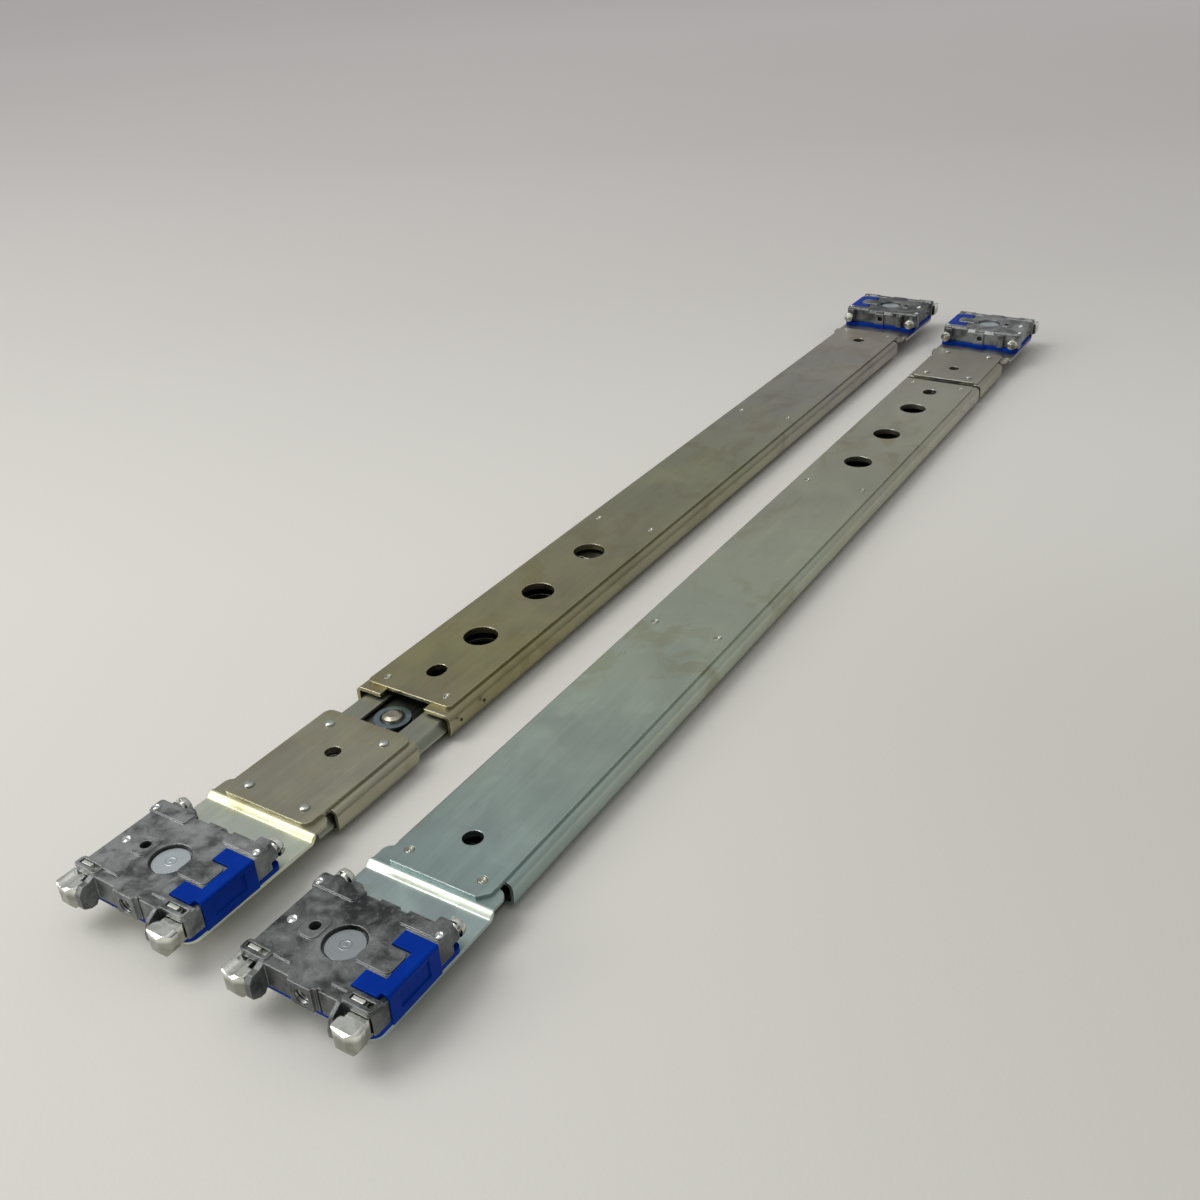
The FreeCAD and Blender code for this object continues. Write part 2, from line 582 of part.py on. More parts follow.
def casting():
    """Die-cast zinc block of a bracket."""
    solid = fused([casting_block(), casting_hub()] + casting_pads() + casting_ears())
    prong_floor = CAST_TOP - 0.85
    tools = pin_cutters(-PIN_X) + pin_cutters(PIN_X) + lock_cutters()
    tools += [block(9.5, 19, -27.1, -22.0, prong_floor, PAD_TOP + 1),
              block(9.5, 19, -14.2, -9.3, prong_floor, PAD_TOP + 1),
              block(14.9, 19, -25.8, -9.4, prong_floor, PAD_TOP + 1),
              post(HUB_X, HUB_Y, HUB_DISC_BOTTOM, PAD_TOP + 1, HUB_RECESS_R),
              post(HUB_X, HUB_Y, 0, PAD_TOP, HUB_SHANK_R + RIVET_PLAY),
              post(-8.3, -18.2, CAST_BOTTOM + 1.0, PAD_TOP + 1, 1.4),
              rod(0.5, PIN_Z, CAST_REAR - 2.0, 0, 1.2),
              rod(0, PIN_Z, BOSS_FRONT - 1, BOSS_FRONT + TAP_DEPTH, TAP_R),
              block(4.1, 4.9, CAST_FRONT - 1, CAST_FRONT + 0.6, CAST_BOTTOM - 1, CAST_TOP + 1),
              block(0.6, 9.2, -13.5, -9.3, CAST_BOTTOM - 1, 12.8)] + rear_ledge()
    tools += [post(x, y, z, PAD_TOP + 1, r + RIVET_PLAY) for x, y, z, r in dowel_places()]
    return cut_all(solid, tools)


def dowel_places():
    """The bright small pins in the casting's top: x, y, lower end, radius."""
    return [(-17.1, -7.4, 13.2, 0.9), (17.1, -7.4, 13.2, 0.9), (-14.4, -18.9, 12.8, 1.15)]


def dowel_pins():
    """Small steel pins pressed into the casting's top."""
    solids = []
    for x, y, z, r in dowel_places():
        top = (PAD_TOP if r < 1.0 else CAST_TOP) + 0.15
        solids.append(post(x, y, z, top, r))
    return solids


def latch():
    """Blue plastic latch: a base under the casting, a side wall, and two prongs over the top."""
    wall_in = CAST_RIGHT + LATCH_PLAY
    wall_out = wall_in + LATCH_WALL
    prong_z0, prong_z1 = CAST_TOP - 0.7, CAST_TOP + 0.35
    base_z0, base_z1 = PLATE_TOP + 0.05, CAST_BOTTOM - 0.1
    section = [(9.7, prong_z0), (wall_in, prong_z0), (wall_in, base_z1), (8.0, base_z1), (8.0, base_z0),
               (wall_out, base_z0), (wall_out, prong_z1, 0.7), (9.7, prong_z1)]
    body = prism(section, "XZ", LATCH_NEAR, LATCH_FAR)
    prong = block(9.7, 16.5, -26.9, -22.2, prong_z0, prong_z1)
    rear, foot = BASE_REAR, FOOT_REAR
    plan = [(-PLATE_HALF, BASE_NEAR, 2.8), (PLATE_HALF, BASE_NEAR, 2.8), (PLATE_HALF, foot, 1.6),
            (12.8, foot, 1.2),
            (11.4, rear), (3.2, rear), (2.0, rear + 0.8), (-2.0, rear + 0.8), (-3.2, rear), (-11.4, rear),
            (-12.8, foot, 1.2), (-PLATE_HALF, foot, 1.6)]
    base = prism(plan, "XY", base_z0, base_z1)
    spring_post = block(1.0, 2.0, -13.2, -9.6, base_z1 - 0.3, 12.4)
    whole = fused([body, prong, base, spring_post])
    panel = block(wall_out - LATCH_WALL / 2, wall_out + 1, -22.6, -13.0, base_z1 + 0.7, CAST_TOP - 0.9)
    tongue_gap = block(9, 15.1, -22.2, -14.0, prong_z0 - 0.5, prong_z1 + 1)
    hub_slot = slot(HUB_X - LATCH_TRAVEL - 0.2, HUB_X, HUB_Y, base_z0 - 1, base_z1 + 1, HUB_R + 0.3)
    return cut_all(whole, [panel, tongue_gap, hub_slot])


def lock_strip():
    """Steel strip under the casting's skin that the latch carries, with a lug up each slot."""
    left, right, top = LUG_X[0] - LUG_HALF - 0.2, LUG_X[1] + LUG_HALF + 0.2, LOCK_Z + LOCK_T
    bar = block(left, right, LOCK_Y - LOCK_HALF, LOCK_Y + LOCK_HALF, LOCK_Z, top)
    arm = block(8.4, 13.2, LOCK_Y, -23.6, LOCK_Z, top)
    lugs = [block(x - LUG_HALF, x + LUG_HALF, LOCK_Y - 0.5, LOCK_Y + 0.5, LOCK_Z + 0.1, PAD_TOP - 0.1)
            for x in LUG_X]
    return fused([bar, arm] + lugs)


def pin(side):
    """Spring-loaded rack pin about its own axis: nose, neck, land, shank and mushroom head."""
    back, tip, half = NOSE_BACK, NOSE_TIP, NOSE_HALF
    plan = [(-half, back), (-half, tip + 0.5, 1.0), (0.8, tip), (half, tip + 1.4, 1.4), (half, back)]
    front = [(-half, -NOSE_DROP, 2.6), (half, -NOSE_DROP, 2.6), (half, NOSE_TOP, 0.9), (-half, NOSE_TOP)]
    profile = [(back, -NOSE_DROP), (tip + 0.8, -NOSE_DROP), (tip, -NOSE_DROP + 1.2), (tip, 1.2),
               (tip + 0.7, NOSE_TOP), (back, NOSE_TOP)]
    nose = prism(plan, "XY", -6, 6).common(prism(front, "XZ", tip - 1, back))
    nose = nose.common(prism(profile, "YZ", -6, 6))
    nose.translate(Vec(-NOSE_SHIFT if side > 0 else 0, 0, 0))
    neck = block(-3.3, 1.6, back - 0.5, NECK_END, -2.9, NOSE_TOP)
    land = rod(0, 0, NECK_END - 0.5, LAND_END, PIN_R)
    shank = rod(0, 0, LAND_END - 0.5, HEAD_FRONT + 0.2, PIN_ROD_R)
    collar = rod(0, 0, BOSS_END + 0.1, HEAD_FRONT + 0.2, PIN_R)
    face, rim = HEAD_FRONT, HEAD_FRONT + 0.8
    head = turned_y([(0, face), (HEAD_R, face), (HEAD_R, rim), (2.1, rim + 0.7), (0, rim + 1.0)])
    shape = fused([nose, neck, land, shank, collar, head])
    if side < 0:
        scoop = Part.makeCylinder(2.6, 12, Vec(-0.9, -42, NOSE_TOP + 2.1), Vec(0, 1, 0))
        shape = shape.cut(scoop)
    shape.translate(Vec(side * PIN_X, 0, PIN_Z))
    return shape


def coil(radius, wire, length, turns):
    """Spring of square wire about Y, from y = 0, drawn with eight flats a turn."""
    count, half = 8 * turns, wire / 2
    radius = radius / math.cos(math.pi / 8)
    turns_at = [math.radians(45 * i) for i in range(count + 1)]
    spots = [(radius * math.cos(a), length * i / count, radius * math.sin(a)) for i, a in enumerate(turns_at)]
    path = Part.makePolygon([Vec(*spot) for spot in spots])
    section = Part.makePolygon([Vec(radius + u * half, v * half, 0)
                                for u, v in ((-1, -1), (1, -1), (1, 1), (-1, 1), (-1, -1))])
    return path.makePipeShell([section], True, False, 1)


def bracket_springs():
    """The two pin springs and the latch's return spring."""
    play = SPRING_WIRE / 2 + 0.02
    front = LAND_END + play
    springs = []
    for x in (-PIN_X, PIN_X):
        spring = coil(SPRING_R, SPRING_WIRE, SPRING_SEAT - play - front, SPRING_TURNS)
        spring.translate(Vec(x, front, PIN_Z))
        springs.append(spring)
    spring = coil(1.5, 0.5, 6.2, SPRING_TURNS)
    spring.rotate(Vec(), Vec(0, 0, 1), -90)
    spring.translate(Vec(2.4, -11.4, 10.5))
    return springs + [spring]


def hub_rivet():
    """Broad-headed rivet that ties the casting to the steel plate."""
    top, low = HUB_DISC_TOP, PLATE_BOTTOM
    profile = [(0, low - 0.85), (4.4, low - 0.85), (4.4, low), (HUB_SHANK_R, low),
               (HUB_SHANK_R, HUB_DISC_BOTTOM), (HUB_DISC_R, HUB_DISC_BOTTOM), (HUB_DISC_R, top), (0, top)]
    return turned(profile, HUB_X, HUB_Y)


# ================================================================================================
# Assembly
# ================================================================================================
FIXED = {"cover_plate": cover_plate, "cover_rivets": cover_rivets, "main_channel": main_channel,
         "outer_slide": outer_slide, "inner_slide": inner_slide, "ball_cage": ball_cage, "balls": balls,
         "spacers": spacers, "guide_rivet": guide_rivet}
EXTENSION = {"extension_channel": extension_channel, "extension_cover": extension_cover,
             "extension_rivets": extension_rivets, "extension_tongue": extension_tongue}
BRACKET = {"casting": casting, "latch": latch, "lock_strip": lock_strip, "left_pin": lambda: pin(-1),
           "right_pin": lambda: pin(1), "bracket_springs": bracket_springs, "hub_rivet": hub_rivet,
           "dowel_pins": dowel_pins}


def built(makers):
    """Every piece of a group as a list of solids, under its name."""
    pieces = {}
    for name, make in makers.items():
        shape = make()
        pieces[name] = shape if isinstance(shape, list) else [shape]
    return pieces


def to_rear(shape, pulled_out):
    """Turn a bracket-frame shape to the rear end of a rail."""
    shape.rotate(Vec(), Vec(0, 0, 1), 180)
    shape.translate(Vec(0, RAIL_LENGTH + pulled_out, 0))
    return shape


def to_rail(shape, rail):
    """Put a rail-frame shape into the pair."""
    half_span = (RAIL_LENGTH + LEFT_PULLED_OUT) / 2
    shape.translate(Vec(RAIL_PITCH / 2, -half_span, 0))
    if rail == "left":
        shape.rotate(Vec(), Vec(0, 0, 1), 180)
    return shape


def save(name, solids):
    """Write one node's solids to its file."""
    shape = solids[0] if len(solids) == 1 else Part.makeCompound(solids)
    shape.exportStep("parts/" + name + ".step")


def main():
    """Build both rails and write every node."""
    os.makedirs("parts", exist_ok=True)
    fixed, extension, bracket = built(FIXED), built(EXTENSION), built(BRACKET)
    for rail in ("left", "right"):
        pulled_out = LEFT_PULLED_OUT if rail == "left" else 0.0
        for name, solids in fixed.items():
            save(rail + "_" + name, [to_rail(s.copy(), rail) for s in solids])
        for name, solids in extension.items():
            save(rail + "_" + name, [to_rail(to_rear(s.copy(), pulled_out), rail) for s in solids])
        for name, solids in bracket.items():
            save(rail + "_front_" + name, [to_rail(s.copy(), rail) for s in solids])
            save(rail + "_rear_" + name, [to_rail(to_rear(s.copy(), pulled_out), rail) for s in solids])


main()
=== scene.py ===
"""A pair of sliding server rails with spring-loaded quick-fit brackets, finished for display.

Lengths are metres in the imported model's frame: X runs across the pair, Y along the rails and Z up
from the floor. The left rail is the right one turned half a turn, so the right rail's front bracket
is at the low end of Y and the left rail's at the high end. Every part of the model keeps its own
shape and is given a finish, apart from those that new surfaces stand for: rivet heads, domed dowels
and springs. Pressed dimples and screw threads are new surfaces too.
"""

import json
import logging
import math
from dataclasses import dataclass, field
from enum import Enum
from typing import Any, Mapping, Optional, Sequence, Tuple, Union

import bpy
import numpy as np
from mathutils import Matrix, Vector

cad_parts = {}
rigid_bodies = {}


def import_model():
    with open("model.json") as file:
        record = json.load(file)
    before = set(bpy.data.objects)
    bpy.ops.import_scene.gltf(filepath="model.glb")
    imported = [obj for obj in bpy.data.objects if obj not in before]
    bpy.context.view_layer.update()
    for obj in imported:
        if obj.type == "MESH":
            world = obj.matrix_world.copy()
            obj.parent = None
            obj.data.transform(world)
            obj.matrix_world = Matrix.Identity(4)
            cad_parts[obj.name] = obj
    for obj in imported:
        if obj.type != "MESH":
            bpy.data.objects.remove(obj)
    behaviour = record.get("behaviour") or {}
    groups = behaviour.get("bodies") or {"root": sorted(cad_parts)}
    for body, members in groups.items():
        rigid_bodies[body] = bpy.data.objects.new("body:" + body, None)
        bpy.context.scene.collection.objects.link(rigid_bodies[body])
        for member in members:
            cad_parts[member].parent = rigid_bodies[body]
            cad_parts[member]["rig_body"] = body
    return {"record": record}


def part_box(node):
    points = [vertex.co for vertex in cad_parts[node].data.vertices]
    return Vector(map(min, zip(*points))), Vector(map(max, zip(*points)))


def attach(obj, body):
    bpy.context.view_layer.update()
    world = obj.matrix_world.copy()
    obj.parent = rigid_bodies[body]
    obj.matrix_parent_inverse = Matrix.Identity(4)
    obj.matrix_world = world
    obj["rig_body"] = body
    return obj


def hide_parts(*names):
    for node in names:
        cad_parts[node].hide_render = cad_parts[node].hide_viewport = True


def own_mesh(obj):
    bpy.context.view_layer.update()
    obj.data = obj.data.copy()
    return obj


LOG = logging.getLogger("rails")
MM = 0.001
FULL_TURN = 2.0 * math.pi
X_AXIS, Y_AXIS = 0, 1

Colour = Tuple[float, float, float]
Span = Tuple[float, float]
Outline = Sequence[Tuple[float, float]]
Grid = np.ndarray

EVEN = (1.0, 1.0, 1.0)
ORIGIN = (0.0, 0.0, 0.0)


def tone(red: float, green: float, blue: float) -> Colour:
    """Turns a display colour into the linear one that shaders use.

    Args:
        red: Display red, 0 to 255.
        green: Display green, 0 to 255.
        blue: Display blue, 0 to 255.

    Returns:
        The linear red, green and blue. With c as a share of 255, each is c / 12.92 up to 0.04045
        and ((c + 0.055) / 1.055)^2.4 above.
    """
    parts = [v / 255.0 for v in (red, green, blue)]
    linear = [v / 12.92 if v <= 0.04045 else ((v + 0.055) / 1.055) ** 2.4 for v in parts]
    return (linear[0], linear[1], linear[2])


# ------------------------------------------------------------------------------------------------
# Shader maths
# ------------------------------------------------------------------------------------------------
class Value:
    """One output of a shader node, on which Python's arithmetic adds Math nodes."""

    def __init__(self, shader: "Shader", socket: bpy.types.NodeSocket) -> None:
        """Keeps the socket and the shader it belongs to."""
        self.shader = shader
        self.socket = socket

    def __add__(self, other: "Feed") -> "Value":
        """Sum."""
        return self.shader.math("ADD", self, other)

    __radd__ = __add__

    def __sub__(self, other: "Feed") -> "Value":
        """Difference."""
        return self.shader.math("SUBTRACT", self, other)

    def __rsub__(self, other: "Feed") -> "Value":
        """Difference from a number."""
        return self.shader.math("SUBTRACT", other, self)

    def __mul__(self, other: "Feed") -> "Value":
        """Product."""
        return self.shader.math("MULTIPLY", self, other)

    __rmul__ = __mul__

    def __truediv__(self, other: "Feed") -> "Value":
        """Quotient."""
        return self.shader.math("DIVIDE", self, other)

    def __rtruediv__(self, other: "Feed") -> "Value":
        """Quotient of a number by this value."""
        return self.shader.math("DIVIDE", other, self)

    def clipped(self) -> "Value":
        """The value held between 0 and 1."""
        return self.shader.add("ShaderNodeClamp", {}, {"Value": self})

    def between(self, low: float, high: float) -> "Value":
        """A soft step from 0 at low to 1 at high.

        Args:
            low: Where the step starts.
            high: Where it ends; below low, the step falls instead.

        Returns:
            The stepped value.
        """
        settings = {"interpolation_type": "SMOOTHSTEP"}
        if high < low:
            ramp = {"Value": self, "From Min": high, "From Max": low, "To Min": 1.0, "To Max": 0.0}
        else:
            ramp = {"Value": self, "From Min": low, "From Max": high, "To Min": 0.0, "To Max": 1.0}
        return self.shader.add("ShaderNodeMapRange", settings, ramp)


Feed = Union[Value, float, Sequence[float]]


@dataclass(frozen=True)
class Pattern:
    """A cloudy pattern, as a finish holds it.

    The scale is in blotches to the metre and the detail is how many finer layers are added. The
    stretch is the factor on the place along each axis before the pattern is read, and the twist is
    how far it is pulled out of shape. Where there is a window, the pattern is a soft step from 0 at
    its first number to 1 at its second.
    """

    scale: float
    detail: float = 3.0
    stretch: Colour = EVEN
    twist: float = 0.0
    window: Optional[Span] = None


# Sockets of a Mix node that mixes colours, which have no names of their own.
MIX_SHARE, MIX_FIRST, MIX_SECOND, MIX_RESULT = 0, 6, 7, 2
# How much each finer layer of noise adds, and how many rays round off an edge.
FINE_SHARE, BEVEL_RAYS = 0.55, 4


class Shader:
    """The node tree of one material."""

    def __init__(self, name: str) -> None:
        """Makes an empty material of that name."""
        self.material = bpy.data.materials.new(name)
        self.material.use_nodes = True
        self.tree = self.material.node_tree
        self.tree.nodes.clear()

    @classmethod
    def on_tree(cls, tree: bpy.types.NodeTree) -> "Shader":
        """A shader that builds on a tree that is there already, which it empties."""
        shader = cls.__new__(cls)
        shader.material, shader.tree = None, tree
        tree.nodes.clear()
        return shader

    def add(self, kind: str, settings: Mapping[str, Any], inputs: Mapping[Union[str, int], Any],
            output: Union[str, int] = 0) -> Value:
        """Adds one node.

        Args:
            kind: The node's type.
            settings: Its properties, set first; "stops" gives a ramp's (place, colour) pairs.
            inputs: A value or a linked Value for each named or numbered input.
            output: The output to return.

        Returns:
            The chosen output.
        """
        node = self.tree.nodes.new(kind)
        for key, setting in settings.items():
            if key == "stops":
                self.set_stops(node, setting)
            else:
                setattr(node, key, setting)
        for key, feed in inputs.items():
            if isinstance(feed, Value):
                self.tree.links.new(feed.socket, node.inputs[key])
            else:
                node.inputs[key].default_value = feed
        return Value(self, node.outputs[output])

    @staticmethod
    def set_stops(node: bpy.types.Node, stops: Sequence[Tuple[float, Colour]]) -> None:
        """Gives a colour ramp its stops, in order of place."""
        elements = node.color_ramp.elements
        while len(elements) < len(stops):
            elements.new(0.5)
        for element, (place, colour) in zip(elements, stops):
            element.position = place
            element.color = (*colour, 1.0)

    def math(self, operation: str, first: Feed, second: Feed) -> Value:
        """Adds a Math node of that operation."""
        return self.add("ShaderNodeMath", {"operation": operation}, {0: first, 1: second})

    def place(self) -> Value:
        """Where the point is on the object, in metres."""
        return self.add("ShaderNodeTexCoord", {}, {}, "Object")

    def mapped(self, scale: Colour, shift: Colour = ORIGIN) -> Value:
        """The point's place, stretched and then shifted.

        Args:
            scale: Factor along each axis.
            shift: What is added to the scaled place.

        Returns:
            The mapped vector.
        """
        inputs = {"Vector": self.place(), "Location": shift, "Scale": scale}
        return self.add("ShaderNodeMapping", {}, inputs)

    def axis(self, vector: Value, letter: str) -> Value:
        """One component, X, Y or Z, of a vector."""
        return self.add("ShaderNodeSeparateXYZ", {}, {"Vector": vector}, letter)

    def noise(self, pattern: Pattern, shift: float = 0.0) -> Value:
        """Cloudy noise from about 0 to 1, stepped where the pattern has a window.

        Args:
            pattern: The pattern's scale, detail, stretch, twist and window.
            shift: Where in the noise the object lies, on all axes, so that two finishes differ.

        Returns:
            The noise.
        """
        inputs = {"Vector": self.mapped(pattern.stretch, (shift, shift, shift)),
                  "Scale": pattern.scale, "Detail": pattern.detail, "Roughness": FINE_SHARE,
                  "Distortion": pattern.twist}
        cloudy = self.add("ShaderNodeTexNoise", {}, inputs, "Fac")
        return cloudy.between(*pattern.window) if pattern.window else cloudy

    def cells(self, scale: float, shift: float = 0.0) -> Value:
        """Distance to the nearest of many scattered points, in cells.

        Args:
            scale: Points to the metre.
            shift: Where in the pattern the object lies, on all axes.

        Returns:
            The distance.
        """
        inputs = {"Vector": self.mapped(EVEN, (shift, shift, shift)), "Scale": scale}
        return self.add("ShaderNodeTexVoronoi", {}, inputs, "Distance")

    def mix(self, share: Feed, first: Union[Value, Colour],
            second: Union[Value, Colour]) -> Value:
        """A colour between two others.

        Args:
            share: 0 for the first, 1 for the second.
            first: Colour or linked colour.
            second: Colour or linked colour.

        Returns:
            The mixed colour.
        """
        feeds = [f if isinstance(f, Value) else (*f, 1.0) for f in (first, second)]
        inputs = {MIX_SHARE: share, MIX_FIRST: feeds[0], MIX_SECOND: feeds[1]}
        return self.add("ShaderNodeMix", {"data_type": "RGBA"}, inputs, MIX_RESULT)

    def tinted(self, colour: Value, share: Feed, tint: Colour) -> Value:
        """A colour that takes another's tint: the first times the second, by the share given.

        Args:
            colour: The colour that is tinted.
            share: 0 leaves it as it is, 1 multiplies it in full.
            tint: Factors on red, green and blue.

        Returns:
            The tinted colour.
        """
        settings = {"data_type": "RGBA", "blend_type": "MULTIPLY"}
        inputs = {MIX_SHARE: share, MIX_FIRST: colour, MIX_SECOND: (*tint, 1.0)}
        return self.add("ShaderNodeMix", settings, inputs, MIX_RESULT)

    def softened(self, radius: float) -> Tuple[Value, Value]:
        """Rounds the look of sharp edges.

        Args:
            radius: How far the rounding reaches, in metres.

        Returns:
            The rounded normal, and a mask that is 0 on flats and 1 on outer and inner edges: four
            times one less the cosine between the rounded and the plain normal.
        """
        soft = self.add("ShaderNodeBevel", {"samples": BEVEL_RAYS}, {"Radius": radius})
        plain = self.add("ShaderNodeNewGeometry", {}, {}, "Normal")
        settings = {"operation": "DOT_PRODUCT"}
        cosine = self.add("ShaderNodeVectorMath", settings, {0: soft, 1: plain}, "Value")
        return soft, ((1.0 - cosine) * 4.0).clipped()

    def distance(self, centre: Span) -> Value:
        """How far the point is from an upright axis.

        Args:
            centre: The axis's place across and along the rails.

        Returns:
            The distance.
        """
        flat = self.mapped((1.0, 1.0, 0.0), (-centre[0], -centre[1], 0.0))
        return self.add("ShaderNodeVectorMath", {"operation": "LENGTH"}, {0: flat}, "Value")

    def finish(self, surface: Mapping[str, Any], height: Value, depth: float,
               normal: Value) -> bpy.types.Material:
        """Feeds the surface's shader and returns the material.

        Args:
            surface: The Principled shader's inputs.
            height: Relief from 0 to 1.
            depth: How deep the relief is, in metres.
            normal: The normal that the relief is laid on.

        Returns:
            The finished material.
        """
        relief = {"Strength": 1.0, "Distance": depth, "Height": height, "Normal": normal}
        bump = self.add("ShaderNodeBump", {}, relief)
        shaded = self.add("ShaderNodeBsdfPrincipled", {}, {**surface, "Normal": bump})
        self.add_output(shaded)
        return self.material

    def add_output(self, shaded: Value) -> None:
        """Links a shader to the material's output."""
        node = self.tree.nodes.new("ShaderNodeOutputMaterial")
        self.tree.links.new(shaded.socket, node.inputs["Surface"])


# ------------------------------------------------------------------------------------------------
# Finishes
# ------------------------------------------------------------------------------------------------
@dataclass(frozen=True)
class PlatedSheet:
    """Satin zinc plating on sheet steel: clouds of tint, handling smudges and a fine rolled grain.

    The tint goes from one end of the rail to the other: the sheet's tone with painted light and
    shade along the rail. Smudges show only where the marks and the patches meet.
    """

    name: str
    tone_and_light_along: Tuple[Tuple[float, Colour], ...]
    cloud: Colour
    smudge: Colour
    bright: Colour
    roughness: float = 0.34
    rounding: float = 0.4 * MM
    shift: float = 0.0
    drift: float = 1.0 * MM
    smudging: float = 0.75
    streaking: float = 0.06
    edge_wear_and_highlight: float = 0.7
    relief: float = 0.04 * MM
    wander: Pattern = Pattern(30.0, 3.0, twist=0.6)
    clouds: Pattern = Pattern(40.0, 5.0, (1.0, 0.7, 1.0), 0.8, (0.38, 0.62))
    marks: Pattern = Pattern(80.0, 6.0, (1.0, 0.75, 1.0), 0.7, (0.47, 0.62))
    patches: Pattern = Pattern(17.0, 3.0, (1.0, 0.6, 1.0), 0.8, (0.44, 0.58))
    grain: Pattern = Pattern(26.0, 2.0, (60.0, 1.0, 60.0))
    wave: Pattern = Pattern(30.0, 1.0, (1.0, 0.5, 1.0))

    def build(self) -> bpy.types.Material:
        """Makes the material; its tone and painted light are read by the place along the rail, in
        metres.
        """
        s = Shader(self.name)
        soft, edge = s.softened(self.rounding)
        low, high = self.tone_and_light_along[0][0], self.tone_and_light_along[-1][0]
        stops = [((y - low) / (high - low), colour) for y, colour in self.tone_and_light_along]
        drift = (s.noise(self.wander, self.shift) - 0.5) * self.drift
        along = (s.axis(s.place(), "Y") + drift - low) / (high - low)
        clouds, marks, patches, grain, wave = (
            s.noise(pattern, self.shift)
            for pattern in (self.clouds, self.marks, self.patches, self.grain, self.wave))
        # The ramp paints light and shade along the rail into the sheet's colour.
        tint = s.add("ShaderNodeValToRGB", {"stops": stops}, {"Fac": along}, "Color")
        tint = s.tinted(tint, clouds, self.cloud)
        tint = s.tinted(tint, marks * patches * self.smudging, self.smudge)
        tint = s.mix(grain.between(0.3, 0.8) * self.streaking, tint, self.bright)
        # Edges lighter: wear and a painted highlight where they catch the light.
        tint = s.mix(edge * self.edge_wear_and_highlight, tint, self.bright)
        rough = ((grain - 0.5) * 0.14 + clouds * 0.06 + marks * 0.08 - edge * 0.08
                 + self.roughness)
        surface = {"Base Color": tint, "Metallic": 1.0, "Roughness": rough.clipped()}
        return s.finish(surface, wave * 0.92 + grain * 0.08, self.relief, soft)


@dataclass(frozen=True)
class DieCasting:
    """Die-cast zinc: flow marks in dark and light grey, a dull skin with painted glints, and small
    pits.
    """

    name: str
    dark: Colour
    light: Colour
    bright: Colour
    roughness: float = 0.4
    rounding: float = 0.4 * MM
    shift: float = 0.0
    blooming: float = 0.36
    painted_glints: float = 0.18
    pitting: float = 0.35
    edge_wear_and_highlight: float = 0.75
    relief: float = 0.05 * MM
    flow: Pattern = Pattern(165.0, 6.0, EVEN, 0.5, (0.36, 0.64))
    bloom: Pattern = Pattern(85.0, 5.0, EVEN, 0.5, (0.45, 0.68))
    skin: Pattern = Pattern(900.0, 3.0)
    pits_per_metre: float = 1500.0
    pit_rim: Span = (0.32, 0.16)

    def build(self) -> bpy.types.Material:
        """Makes the material; a pit lies round each of many scattered points."""
        s = Shader(self.name)
        soft, edge = s.softened(self.rounding)
        flow, bloom, skin = (s.noise(pattern, self.shift)
                             for pattern in (self.flow, self.bloom, self.skin))
        pits = s.cells(self.pits_per_metre, self.shift).between(*self.pit_rim)
        tint = s.mix(flow, self.dark, self.light)
        tint = s.mix(bloom * self.blooming, tint, self.bright)
        # Painted glints: small bright specks in the colour.
        tint = s.mix(skin.between(0.5, 0.75) * self.painted_glints, tint, self.bright)
        tint = s.mix(pits * self.pitting, tint, self.dark)
        # Edges lighter: wear and a painted highlight where they catch the light.
        tint = s.mix(edge * self.edge_wear_and_highlight, tint, self.bright)
        rough = flow * 0.14 - edge * 0.1 + (skin - 0.5) * 0.2 + self.roughness
        surface = {"Base Color": tint, "Metallic": 0.85, "Roughness": rough.clipped()}
        return s.finish(surface, skin * 0.6 + flow * 0.25 - pits * 0.3, self.relief, soft)


@dataclass(frozen=True)
class BrightPlate:
    """Nickel plate or polished steel, faintly hazed and scratched, with painted shade low on its
    sides.
    """

    name: str
    colour: Colour
    haze: Colour
    roughness: float = 0.1
    rounding: float = 0.3 * MM
    low_shade: float = 0.0
    low_shade_tint: Colour = (0.34, 0.34, 0.31)
    low_shade_below: Span = (12.4 * MM, 10.8 * MM)
    hazing: float = 0.5
    edge_wear_and_highlight: float = 0.5
    relief: float = 0.06 * MM
    film: Pattern = Pattern(210.0, 4.0, EVEN, 0.8, (0.4, 0.62))
    hairs: Pattern = Pattern(600.0, 2.0, (1.0, 0.12, 1.0), window=(0.56, 0.72))
    ripple: Pattern = Pattern(420.0, 2.0)

    def build(self) -> bpy.types.Material:
        """Makes the material; the painted shade comes in as the height falls through its two stops.
        """
        s = Shader(self.name)
        soft, edge = s.softened(self.rounding)
        film, hairs, ripple = (s.noise(pattern) for pattern in (self.film, self.hairs, self.ripple))
        low = s.axis(s.place(), "Z").between(*self.low_shade_below)
        tint = s.mix(film * self.hazing, self.colour, self.haze)
        # Painted shade on the lower sides.
        tint = s.tinted(tint, low * self.low_shade, self.low_shade_tint)
        # Edges lighter: wear and a painted highlight where they catch the light.
        tint = s.mix(edge * self.edge_wear_and_highlight, tint, self.colour)
        rough = film * 0.1 + hairs * 0.06 + self.roughness
        surface = {"Base Color": tint, "Metallic": 1.0, "Roughness": rough.clipped()}
        return s.finish(surface, ripple, self.relief, soft)


